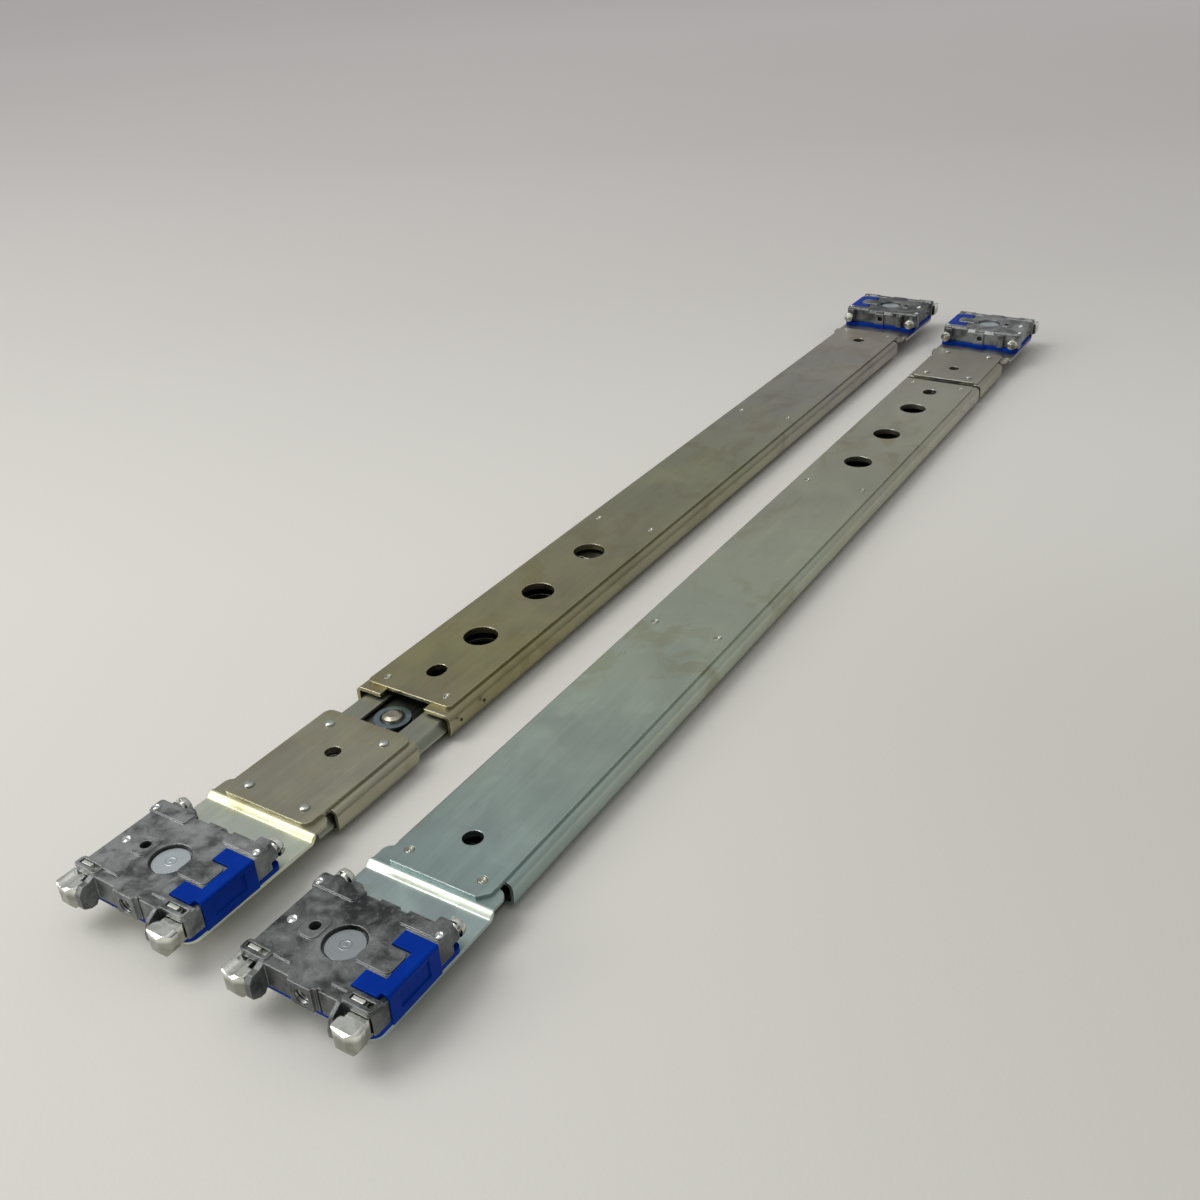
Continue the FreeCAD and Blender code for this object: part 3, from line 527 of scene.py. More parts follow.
@dataclass(frozen=True)
class RolledSteel:
    """Plain slide steel under a thin film of grease, streaked along its run."""

    name: str
    colour: Colour
    grease: Colour
    bright: Colour
    roughness: float = 0.36
    rounding: float = 0.25 * MM
    streaking: float = 0.4
    greasing: float = 0.6
    edge_wear_and_highlight: float = 0.7
    gloss: float = 0.4
    relief: float = 0.01 * MM
    streaks: Pattern = Pattern(14.0, 4.0, (40.0, 1.0, 40.0), window=(0.3, 0.75))
    film: Pattern = Pattern(60.0, 4.0, (1.0, 0.3, 1.0), 1.0, (0.45, 0.72))

    def build(self) -> bpy.types.Material:
        """Makes the material."""
        s = Shader(self.name)
        soft, edge = s.softened(self.rounding)
        streaks, film = s.noise(self.streaks), s.noise(self.film)
        tint = s.mix(streaks * self.streaking, self.colour, self.bright)
        tint = s.mix(film * self.greasing, tint, self.grease)
        # Edges lighter: wear and a painted highlight where they catch the light.
        tint = s.mix(edge * self.edge_wear_and_highlight, tint, self.bright)
        rough = streaks * 0.12 - film * 0.1 + self.roughness
        surface = {"Base Color": tint, "Metallic": 1.0, "Roughness": rough.clipped(),
                   "Coat Weight": film * self.gloss}
        return s.finish(surface, streaks, self.relief, soft)


@dataclass(frozen=True)
class MouldedPlastic:
    """Moulded latch plastic: a fine spark texture, paler on its corners from wear and a painted
    highlight.
    """

    name: str
    colour: Colour
    deep: Colour
    rubbed_and_highlight: Colour
    roughness: float = 0.36
    rounding: float = 0.4 * MM
    edge_wear_and_highlight: float = 0.35
    dusting: float = 0.12
    specular: float = 0.05
    relief: float = 0.012 * MM
    flow: Pattern = Pattern(90.0, 3.0, EVEN, 0.6, (0.35, 0.7))
    spark: Pattern = Pattern(2600.0, 2.0)
    dust: Pattern = Pattern(420.0, 5.0, EVEN, 1.0, (0.62, 0.8))

    def build(self) -> bpy.types.Material:
        """Makes the material."""
        s = Shader(self.name)
        soft, edge = s.softened(self.rounding)
        flow, spark, dust = (s.noise(pattern) for pattern in (self.flow, self.spark, self.dust))
        tint = s.mix(flow, self.deep, self.colour)
        # Edges lighter: wear and a painted highlight where they catch the light.
        tint = s.mix(edge * self.edge_wear_and_highlight, tint, self.rubbed_and_highlight)
        tint = s.mix(dust * self.dusting, tint, self.rubbed_and_highlight)
        rough = spark * 0.12 + dust * 0.15 - 0.06 + self.roughness
        surface = {"Base Color": tint, "Metallic": 0.0, "Roughness": rough.clipped(),
                   "Specular IOR Level": self.specular}
        return s.finish(surface, spark, self.relief, soft)


@dataclass(frozen=True)
class TurnedDisc:
    """A plated rivet disc: turning rings round its middle and a faint upset ring."""

    name: str
    colour: Colour
    haze: Colour
    centre: Span
    roughness: float = 0.3
    rounding: float = 0.2 * MM
    ring_pitch: float = 0.42 * MM
    upset_inside: Span = (1.05 * MM, 1.25 * MM)
    upset_outside: Span = (1.55 * MM, 1.35 * MM)
    pip_rim: Span = (0.5 * MM, 0.3 * MM)
    hazing: float = 0.6
    upset_shade: float = 0.45
    relief: float = 0.06 * MM
    film: Pattern = Pattern(320.0, 4.0, EVEN, 1.0, (0.4, 0.68))

    def build(self) -> bpy.types.Material:
        """Makes the material; the rings are a sine of the distance from the centre."""
        s = Shader(self.name)
        soft = s.softened(self.rounding)[0]
        away = s.distance(self.centre)
        rings = s.math("SINE", away * (FULL_TURN / self.ring_pitch), 0.0) * 0.5 + 0.5
        upset = away.between(*self.upset_inside) * away.between(*self.upset_outside)
        pip = away.between(*self.pip_rim)
        film = s.noise(self.film)
        tint = s.mix(film * self.hazing, self.colour, self.haze)
        tint = s.mix((upset + pip).clipped() * self.upset_shade, tint, self.haze)
        rough = film * 0.12 + rings * 0.06 + self.roughness
        surface = {"Base Color": tint, "Metallic": 0.9, "Roughness": rough.clipped()}
        return s.finish(surface, rings * 0.12 + upset + pip * 0.8, self.relief, soft)


@dataclass(frozen=True)
class GuideWasher:
    """A domed rivet in a blued washer: warm bright head, dark seam, blue-grey ring."""

    name: str
    head: Colour
    seam: Colour
    ring: Colour
    centre: Span
    head_rim: Span = (3.0 * MM, 3.2 * MM)
    seam_rim: Span = (4.0 * MM, 3.4 * MM)
    roughness: float = 0.28
    rounding: float = 0.2 * MM
    filming: float = 0.4
    edge_wear_and_highlight: float = 0.5
    relief: float = 0.02 * MM
    film: Pattern = Pattern(260.0, 4.0, EVEN, 1.0, (0.4, 0.64))

    def build(self) -> bpy.types.Material:
        """Makes the material; the colour follows the distance from the centre."""
        s = Shader(self.name)
        soft, edge = s.softened(self.rounding)
        away = s.distance(self.centre)
        outside = away.between(*self.head_rim)
        seam = outside * away.between(*self.seam_rim)
        film = s.noise(self.film)
        tint = s.mix(outside, self.head, self.ring)
        tint = s.mix(seam, tint, self.seam)
        tint = s.mix(film * self.filming, tint, self.seam)
        # Edges lighter: wear and a painted highlight where they catch the light.
        tint = s.mix(edge * self.edge_wear_and_highlight, tint, self.head)
        rough = film * 0.12 + self.roughness
        surface = {"Base Color": tint, "Metallic": 0.95, "Roughness": rough.clipped()}
        return s.finish(surface, film, self.relief, soft)


@dataclass(frozen=True)
class PaperFloor:
    """Pale matt paper with painted light and shade: a little darker past the far end of the rails
    and to the right of them.
    """

    name: str
    tone_and_light_bands: Tuple[Tuple[float, Colour], ...]
    shade: Colour
    start: Span
    heading: Span
    shade_aside: Span = (-0.1, 0.16)
    shade_ahead: Span = (0.5, 0.25)
    mottling: float = 0.3
    roughness: float = 0.85
    specular: float = 0.25
    relief: float = 0.05 * MM
    fibres: Pattern = Pattern(900.0, 4.0)
    mottle: Pattern = Pattern(3.0, 2.0)

    def build(self) -> bpy.types.Material:
        """Makes the material; the bands of painted light follow the distance along the heading from
        the start, the camera's place.
        """
        s = Shader(self.name)
        place = s.place()
        shift_x = s.axis(place, "X") - self.start[0]
        shift_y = s.axis(place, "Y") - self.start[1]
        ahead = shift_x * self.heading[0] + shift_y * self.heading[1]
        aside = shift_x * self.heading[1] - shift_y * self.heading[0]
        length = self.tone_and_light_bands[-1][0]
        stops = [(distance / length, colour) for distance, colour in self.tone_and_light_bands]
        tint = s.add("ShaderNodeValToRGB", {"stops": stops}, {"Fac": ahead / length}, "Color")
        shaded = aside.between(*self.shade_aside) * ahead.between(*self.shade_ahead)
        tint = s.tinted(tint, shaded, self.shade)
        mottle = (s.noise(self.mottle) - 0.4).clipped() * self.mottling
        tint = s.tinted(tint, mottle, self.shade)
        plain = s.add("ShaderNodeNewGeometry", {}, {}, "Normal")
        surface = {"Base Color": tint, "Metallic": 0.0, "Roughness": self.roughness,
                   "Specular IOR Level": self.specular}
        return s.finish(surface, s.noise(self.fibres), self.relief, plain)


# ------------------------------------------------------------------------------------------------
# Surfaces worked out as arrays
# ------------------------------------------------------------------------------------------------
def lattice(rows: int, columns: int, close_rows: bool, close_columns: bool) -> np.ndarray:
    """Quads that join a grid of points.

    Args:
        rows: Points along the first parameter.
        columns: Points along the second.
        close_rows: True if the last row joins the first.
        close_columns: True if the last column joins the first.

    Returns:
        One row of four point numbers for each quad: (i, j), (i, j+1), (i+1, j+1), (i+1, j).
    """
    i = np.arange(rows if close_rows else rows - 1)[:, None]
    j = np.arange(columns if close_columns else columns - 1)[None, :]
    next_i, next_j = (i + 1) % rows, (j + 1) % columns
    corners = [i * columns + j, i * columns + next_j,
               next_i * columns + next_j, next_i * columns + j]
    return np.stack([np.broadcast_to(c, corners[0].shape).ravel() for c in corners], 1)


def turned_points(profile: Grid, sides: int) -> Grid:
    """Points of a turned shape about the upright axis.

    Args:
        profile: (radius, height) pairs.
        sides: Points round the axis.

    Returns:
        Points (r cos a, r sin a, h), one ring for each profile point, with a evenly spaced round
        the circle.
    """
    angle = np.linspace(0.0, FULL_TURN, sides, endpoint=False)[None, :]
    radius, height = profile[:, 0:1], profile[:, 1:2]
    rings = [radius * np.cos(angle), radius * np.sin(angle), height + 0.0 * angle]
    return np.stack(rings, 2).reshape(-1, 3)


def scaled_outline(outline: Outline, radius: float) -> list:
    """An outline whose radii are shares of a radius and whose heights are in mm, in metres."""
    return [(share * radius, height * MM) for share, height in outline]


def dome_outline(radius: float, rise: float, foot: float, tip: float, rings: int) -> list:
    """The outline of a dome, from its rim to near its top.

    Args:
        radius: The rim's radius.
        rise: How far the top stands above the rim.
        foot: The rim's height.
        tip: Radius of the last point, as a share of the rim's.
        rings: Number of points.

    Returns:
        (radius, height) pairs. At a share k of the radius the height is foot + rise sqrt(1 - k^2).
    """
    return [(radius * k, rise * math.sqrt(1.0 - k * k) + foot)
            for k in np.linspace(1.0, tip, rings)]


@dataclass(frozen=True)
class Coil:
    """A spring's wire: its middle line's radius, its diameter, its turns and its points."""

    radius: float
    wire: float
    turns: int
    rings_per_turn: int = 24
    sides: int = 8
    squeeze: float = 0.6

    def points(self, length: float) -> Tuple[Grid, int]:
        """Points of the spring about Y, from y = 0 to y = length over its ends.

        Args:
            length: The spring's whole length.

        Returns:
            The points and the number of rings. The middle line is (R cos t, rise, R sin t), where
            rise grows with the share k of the turns as k - squeeze sin(2 pi k) / (2 pi), so that
            the end turns lie closer. A ring is middle + wire / 2 (cos a r + sin a b), where r
            points out from the spring's axis and b is square to r and to the wire.
        """
        rings = self.turns * self.rings_per_turn + 1
        share = np.linspace(0.0, 1.0, rings)
        turned = FULL_TURN * self.turns * share
        eased = share - self.squeeze * np.sin(FULL_TURN * share) / FULL_TURN
        rise = self.wire / 2.0 + (length - self.wire) * eased
        out = np.stack([np.cos(turned), np.zeros(rings), np.sin(turned)], axis=1)
        middle = self.radius * out + np.stack([np.zeros(rings), rise, np.zeros(rings)], axis=1)
        along = np.gradient(middle, axis=0)
        across = np.cross(along / np.linalg.norm(along, axis=1, keepdims=True), out)
        angle = np.linspace(0.0, FULL_TURN, self.sides, endpoint=False)[None, :, None]
        ring = np.cos(angle) * out[:, None, :] + np.sin(angle) * across[:, None, :]
        return (middle[:, None, :] + self.wire / 2.0 * ring).reshape(-1, 3), rings


def make_piece(name: str, points: Grid, quads: np.ndarray,
               caps: Sequence[Sequence[int]] = ()) -> bpy.types.Object:
    """A smooth-shaded object from points and faces, its place in its mesh.

    Args:
        name: The piece's name.
        points: One row for each point, in metres.
        quads: One row of four point numbers for each face.
        caps: Other faces, as lists of point numbers.

    Returns:
        The linked object.
    """
    mesh = bpy.data.meshes.new(name)
    faces = quads.tolist() + [list(cap) for cap in caps]
    mesh.from_pydata(points.tolist(), [], faces)
    mesh.polygons.foreach_set("use_smooth", np.ones(len(faces), bool))
    mesh.update()
    piece = bpy.data.objects.new(name, mesh)
    bpy.context.scene.collection.objects.link(piece)
    return piece


def turned_set(name: str, profile: Outline, places: Grid, sides: int = 40,
               sizes: Union[float, Grid] = 1.0) -> bpy.types.Object:
    """Several copies of one turned shape, closed at both ends, as one piece.

    Args:
        name: The piece's name.
        profile: (radius, height) pairs from the lower end to the upper, in metres.
        places: Where each copy stands.
        sides: Points round each copy.
        sizes: What each copy's profile is multiplied by.

    Returns:
        The object.
    """
    shape = np.array(profile, float)
    single = turned_points(shape, sides)
    quads = lattice(len(shape), sides, False, True)
    count = len(single)
    offsets = np.arange(len(places)) * count
    sizes = np.broadcast_to(sizes, len(places))[:, None, None]
    points = (places[:, None, :] + sizes * single[None, :, :]).reshape(-1, 3)
    faces = (offsets[:, None, None] + quads[None, :, :]).reshape(-1, 4)
    low, high = np.arange(sides)[::-1], np.arange(count - sides, count)
    caps = [(ring + offset).tolist() for offset in offsets for ring in (low, high)]
    return make_piece(name, points, faces, caps)


def thread_points(length: float, bore: float, depth: float, pitch: float, sides: int,
                  rings_per_pitch: int = 10, root: float = 0.985) -> Tuple[Grid, int]:
    """Points of a threaded sleeve about the Y axis, from y = 0 to its length.

    The inner wall's radius is root bore - depth lead (0.5 + 0.5 cos(2 pi y / pitch - a)), so its
    crest climbs one pitch a turn, and lead runs the thread out over the pitch at each end. The
    outer wall is a plain cylinder of the bore's radius.

    Args:
        length: The sleeve's length.
        bore: Radius of the outer wall.
        depth: Depth of the thread.
        pitch: Distance between crests.
        sides: Points round the axis.
        rings_per_pitch: Rings of points from one crest to the next.
        root: Radius between the crests, as a share of the bore's.

    Returns:
        The points, ring by ring, and the number of rings; the last ring joins the first.
    """
    count = int(round(length / pitch * rings_per_pitch)) + 1
    station = np.linspace(0.0, length, count)[:, None]
    angle = np.linspace(0.0, FULL_TURN, sides, endpoint=False)[None, :]
    crest = 0.5 + 0.5 * np.cos(FULL_TURN * station / pitch - angle)
    lead = np.clip(np.minimum(station, length - station) / pitch, 0.0, 1.0)
    radius = bore * root - depth * crest * lead
    radius = np.vstack([np.full((1, sides), bore), radius, np.full((1, sides), bore)])
    station = np.vstack([station[:1], station, station[-1:]])
    rings = np.stack([radius * np.cos(angle), station + 0.0 * angle, radius * np.sin(angle)], 2)
    return rings.reshape(-1, 3), count + 2


# ------------------------------------------------------------------------------------------------
# The object's parts
# ------------------------------------------------------------------------------------------------
class Side(Enum):
    """Which rail of the pair."""

    LEFT = "left"
    RIGHT = "right"


class End(Enum):
    """Which end of the pair a bracket is at."""

    FRONT = "front"
    REAR = "rear"


@dataclass
class Palette:
    """The finishes that are shared by the two rails, made once."""

    made: dict = field(default_factory=dict)

    def get(self, finish: Any) -> bpy.types.Material:
        """The finish's material, made on first use.

        Args:
            finish: A finish with a name and a build method.

        Returns:
            The material.
        """
        if finish.name not in self.made:
            self.made[finish.name] = finish.build()
        return self.made[finish.name]


# The narrow bright band near the low end of Y in the first two is a painted highlight on the bend
# where the bracket's plate steps; the other stops paint light and shade along the rail.
BLUISH_ZINC = PlatedSheet(
    "bluish_zinc",
    tone_and_light_along=((-0.2134, tone(170, 186, 186)), (-0.2128, tone(214, 222, 208)),
          (-0.2107, tone(214, 222, 208)), (-0.2103, tone(150, 166, 166)),
          (-0.196, tone(160, 176, 174)), (-0.12, tone(180, 190, 176)),
          (0.0, tone(178, 180, 162)), (0.09, tone(178, 176, 160)),
          (0.14, tone(182, 178, 166)), (0.18, tone(160, 154, 142)),
          (0.22, tone(162, 158, 150))),
    cloud=(1.07, 1.09, 1.06), smudge=(0.8, 0.73, 0.62), bright=tone(232, 238, 232))
OLIVE_ZINC = PlatedSheet(
    "olive_zinc",
    tone_and_light_along=((-0.2134, tone(206, 214, 202)), (-0.2128, tone(240, 238, 196)),
          (-0.2107, tone(240, 238, 196)), (-0.2103, tone(166, 164, 146)),
          (-0.178, tone(164, 162, 146)), (-0.16, tone(150, 144, 122)),
          (-0.13, tone(156, 152, 116)), (-0.05, tone(152, 150, 126)),
          (0.03, tone(158, 158, 136)), (0.1, tone(160, 158, 150)),
          (0.22, tone(168, 162, 158))),
    cloud=(1.12, 1.12, 1.06), smudge=(0.84, 0.79, 0.72), bright=tone(240, 232, 200), shift=7.3)
# The tongues are painted dark where they run inside the channels: painted shade there.
GREY_ZINC = PlatedSheet(
    "grey_zinc",
    tone_and_light_along=((-0.222, tone(160, 163, 152)), (-0.148, tone(158, 160, 148)),
          (-0.128, tone(92, 90, 80)), (0.128, tone(92, 90, 80)),
          (0.148, tone(158, 160, 148)), (0.222, tone(160, 163, 152))),
    cloud=(1.05, 1.05, 1.0), smudge=(0.8, 0.74, 0.62), bright=tone(232, 234, 228), shift=3.9)
LATCH_BLUE = MouldedPlastic("latch_blue", colour=tone(0, 54, 160), deep=tone(0, 45, 142),
                            rubbed_and_highlight=tone(20, 96, 208))
# Slide steel made dark all over: painted shade for the slides that lie inside the rails.
SHADED_SLIDE_STEEL = RolledSteel("shaded_slide_steel", colour=tone(96, 97, 90), grease=tone(52, 50, 40),
                          bright=tone(150, 151, 144))
CAGE_STEEL = RolledSteel("cage_steel", colour=tone(176, 176, 168), grease=tone(120, 116, 100),
                         bright=tone(220, 220, 214))
# The pins take painted shade on their lower sides.
PIN_NICKEL = BrightPlate("pin_nickel", tone(240, 241, 234), tone(176, 178, 168),
                         roughness=0.07, low_shade=0.85)
RIVET_ZINC = BrightPlate("rivet_zinc", tone(198, 201, 194), tone(150, 152, 144), roughness=0.22)
DOWEL_NICKEL = BrightPlate("dowel_nickel", tone(236, 240, 240), tone(190, 194, 190), roughness=0.06)
# Dark finish for the left rail's dimples: painted shade in their hollows.
DIMPLE_SHADE = BrightPlate("dimple_painted_shade", tone(84, 78, 62), tone(44, 40, 32), roughness=0.45)
HEAD_ZINC = BrightPlate("head_zinc", tone(176, 178, 166), tone(140, 138, 122), roughness=0.3)
LUG_ZINC = BrightPlate("lug_zinc", tone(244, 244, 236), tone(214, 214, 200), roughness=0.26)
BALL_STEEL = BrightPlate("ball_steel", tone(226, 228, 230), tone(200, 200, 200), roughness=0.05)
SPRING_STEEL = BrightPlate("spring_steel", tone(178, 180, 182), tone(120, 120, 118), roughness=0.22)
THREAD_ZINC = BrightPlate("thread_zinc", tone(150, 152, 148), tone(96, 96, 90), roughness=0.3,
                          rounding=0.1 * MM)

# Display greys of each casting's dark and light skin. They differ by painted light and shade
# between the four castings, the rear ones painted lighter than the front ones.
CASTING_SKINS_AND_LIGHT = {(Side.LEFT, End.FRONT): (66, 120), (Side.RIGHT, End.FRONT): (58, 114),
                 (Side.LEFT, End.REAR): (82, 144), (Side.RIGHT, End.REAR): (92, 154)}

# Turned outlines from the rim inwards, for scaled_outline: a rivet head that is dimpled round a
# raised pip, and a mark that is pressed into sheet.
DIMPLED_HEAD = ((1.0, -0.05), (0.93, 0.07), (0.72, 0.09), (0.58, -0.02), (0.5, -0.28),
                (0.3, -0.34), (0.22, -0.16), (0.08, -0.1))
PRESSED_MARK = ((1.0, -0.3), (1.0, 0.02), (0.84, 0.08), (0.62, 0.07), (0.46, 0.015), (0.1, 0.012))
# The same for a dowel, all in units of its radius: its rim and the groove inside it.
GROOVED_RIM = ((1.0, -1.4), (1.0, -0.06), (0.94, 0.0), (0.88, -0.06), (0.86, -0.62), (0.76, -0.62))


def top_middles(boxes: Grid) -> Grid:
    """The middle of the top face of each box, given as rows of low and high corners."""
    return np.column_stack([(boxes[:, 0] + boxes[:, 3]) / 2, (boxes[:, 1] + boxes[:, 4]) / 2,
                            boxes[:, 5]])


def loose_parts(node: str, gap: float = 2.5 * MM) -> Grid:
    """The lowest and highest corner of each separate small solid of a node.

    Args:
        node: The node's name.
        gap: Solids stand at least this far apart, along the rail or across it.

    Returns:
        One row of six numbers for each solid. The points are sorted along the rail and split where
        the gap is wider, and each of those groups is split across the rail in the same way.
    """
    mesh = bpy.data.objects[node].data
    points = np.empty(len(mesh.vertices) * 3, np.float32)
    mesh.vertices.foreach_get("co", points)
    groups = [points.reshape(-1, 3).astype(float)]
    for axis in (Y_AXIS, X_AXIS):
        split = []
        for group in groups:
            group = group[np.argsort(group[:, axis])]
            split += np.split(group, np.nonzero(np.diff(group[:, axis]) > gap)[0] + 1)
        groups = split
    return np.array([np.hstack([group.min(0), group.max(0)]) for group in groups])


@dataclass
class Rail:
    """One telescoping rail: its sheet-metal members, slides and rivets.

    The dimple stations are measured along the rail from the main channel's open end.
    """

    side: Side
    sheet: PlatedSheet
    palette: Palette
    rivet_radius: float = 1.2 * MM
    shank_radius: float = 1.15 * MM
    shoulder_heights: Span = (-1.5 * MM, -1.1 * MM)
    dome_radius: float = 1.55 * MM
    dome_rise: float = 0.75 * MM
    dimple_radius: float = 0.5 * MM
    dimple_height: float = 5.6 * MM
    dimple_stations: Mapping[Side, Span] = field(
        default_factory=lambda: {Side.LEFT: (3.9 * MM, 14.7 * MM),
                                 Side.RIGHT: (11.9 * MM, 23.5 * MM)})

    def name(self, part: str) -> str:
        """The part's full name on this rail."""
        return f"{self.side.value}_{part}"

    def form_rivets(self) -> None:
        """Replaces the plain rivets by upset ones: dimpled on the cover, domed on the extension.

        Both are turned profiles that start at the plain rivets' lower ends.
        """
        flush = loose_parts(self.name("cover_rivets"))
        shank = (self.rivet_radius, -(flush[0, 5] - flush[0, 2]))
        profile = [shank] + scaled_outline(DIMPLED_HEAD, self.rivet_radius)
        piece = turned_set(self.name("cover_rivet_heads"), profile, top_middles(flush))
        self.fit_piece(piece, self.palette.get(HEAD_ZINC), "cover_rivets")
        domed = loose_parts(self.name("extension_rivets"))
        rim = domed[0, 5] - self.dome_rise
        places = top_middles(domed)
        places[:, 2] = rim
        narrow, wide = self.shoulder_heights
        profile = [(self.shank_radius, domed[0, 2] - rim), (self.shank_radius, narrow),
                   (self.rivet_radius, wide), (self.rivet_radius, 0.0)]
        profile += dome_outline(self.dome_radius, self.dome_rise, 0.0, tip=0.04, rings=9)
        piece = turned_set(self.name("extension_rivet_domes"), profile, places)
        self.fit_piece(piece, self.palette.get(RIVET_ZINC), "extension_rivets")

    def press_dimples(self) -> None:
        """Presses two locating dimples into the channel's wall at the high end of X.

        Each is a turned ring laid on its side: its height is the distance out from the wall. So the
        rings are made upright, with minus the dimple's height as X, and then turned a quarter.
        """
        low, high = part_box(self.name("main_channel"))
        turned = self.side is Side.LEFT
        end, inward = (low.y, 1.0) if turned else (high.y, -1.0)
        stations = self.dimple_stations[self.side]
        places = np.array([(-self.dimple_height, end + inward * far, high.x) for far in stations])
        profile = scaled_outline(PRESSED_MARK, self.dimple_radius)
        piece = turned_set(self.name("channel_dimples"), profile, places, sides=24)
        points = np.empty(len(piece.data.vertices) * 3)
        piece.data.vertices.foreach_get("co", points)
        x, y, z = points.reshape(-1, 3).T
        piece.data.vertices.foreach_set("co", np.column_stack([z, y, -x]).ravel())
        piece.data.update()
        # The left rail's dimples take painted shade; the right rail's are plain zinc.
        piece.data.materials.append(self.palette.get(DIMPLE_SHADE if turned else HEAD_ZINC))
        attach(piece, bpy.data.objects[self.name("main_channel")]["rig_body"])
        LOG.info("%s pressed", piece.name)

    def fit_piece(self, piece: bpy.types.Object, metal: bpy.types.Material, node: str) -> None:
        """Dresses a piece that stands for one of the rail's nodes, on that node's body.

        Args:
            piece: The new piece.
            metal: Its material.
            node: The node's name without the side.
        """
        piece.data.materials.append(metal)
        stood_for = bpy.data.objects[self.name(node)]
        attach(piece, stood_for["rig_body"])
        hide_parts(self.name(node))
        LOG.info("%s stands for %s", piece.name, stood_for.name)

    def dress(self) -> None:
        """Gives every member of the rail its finish."""
        sheet, tongue = self.palette.get(self.sheet), self.palette.get(GREY_ZINC)
        steel, cage = self.palette.get(SHADED_SLIDE_STEEL), self.palette.get(CAGE_STEEL)
        rivets, balls = self.palette.get(RIVET_ZINC), self.palette.get(BALL_STEEL)
        low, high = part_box(self.name("guide_rivet"))
        middle = ((low.x + high.x) / 2.0, (low.y + high.y) / 2.0)
        washer = self.palette.get(GuideWasher(
            self.name("guide_washer"), head=tone(176, 170, 154), seam=tone(44, 48, 50),
            ring=tone(124, 140, 148), centre=middle))
        finishes = {"cover_plate": sheet, "main_channel": sheet, "extension_channel": sheet,
                    "extension_cover": sheet, "extension_tongue": tongue, "outer_slide": steel,
                    "inner_slide": steel, "ball_cage": cage, "balls": balls, "cover_rivets": rivets,
                    "extension_rivets": rivets, "guide_rivet": washer, "spacers": steel}
        for part, material in finishes.items():
            cover(self.name(part), material)
        self.form_rivets()
        self.press_dimples()


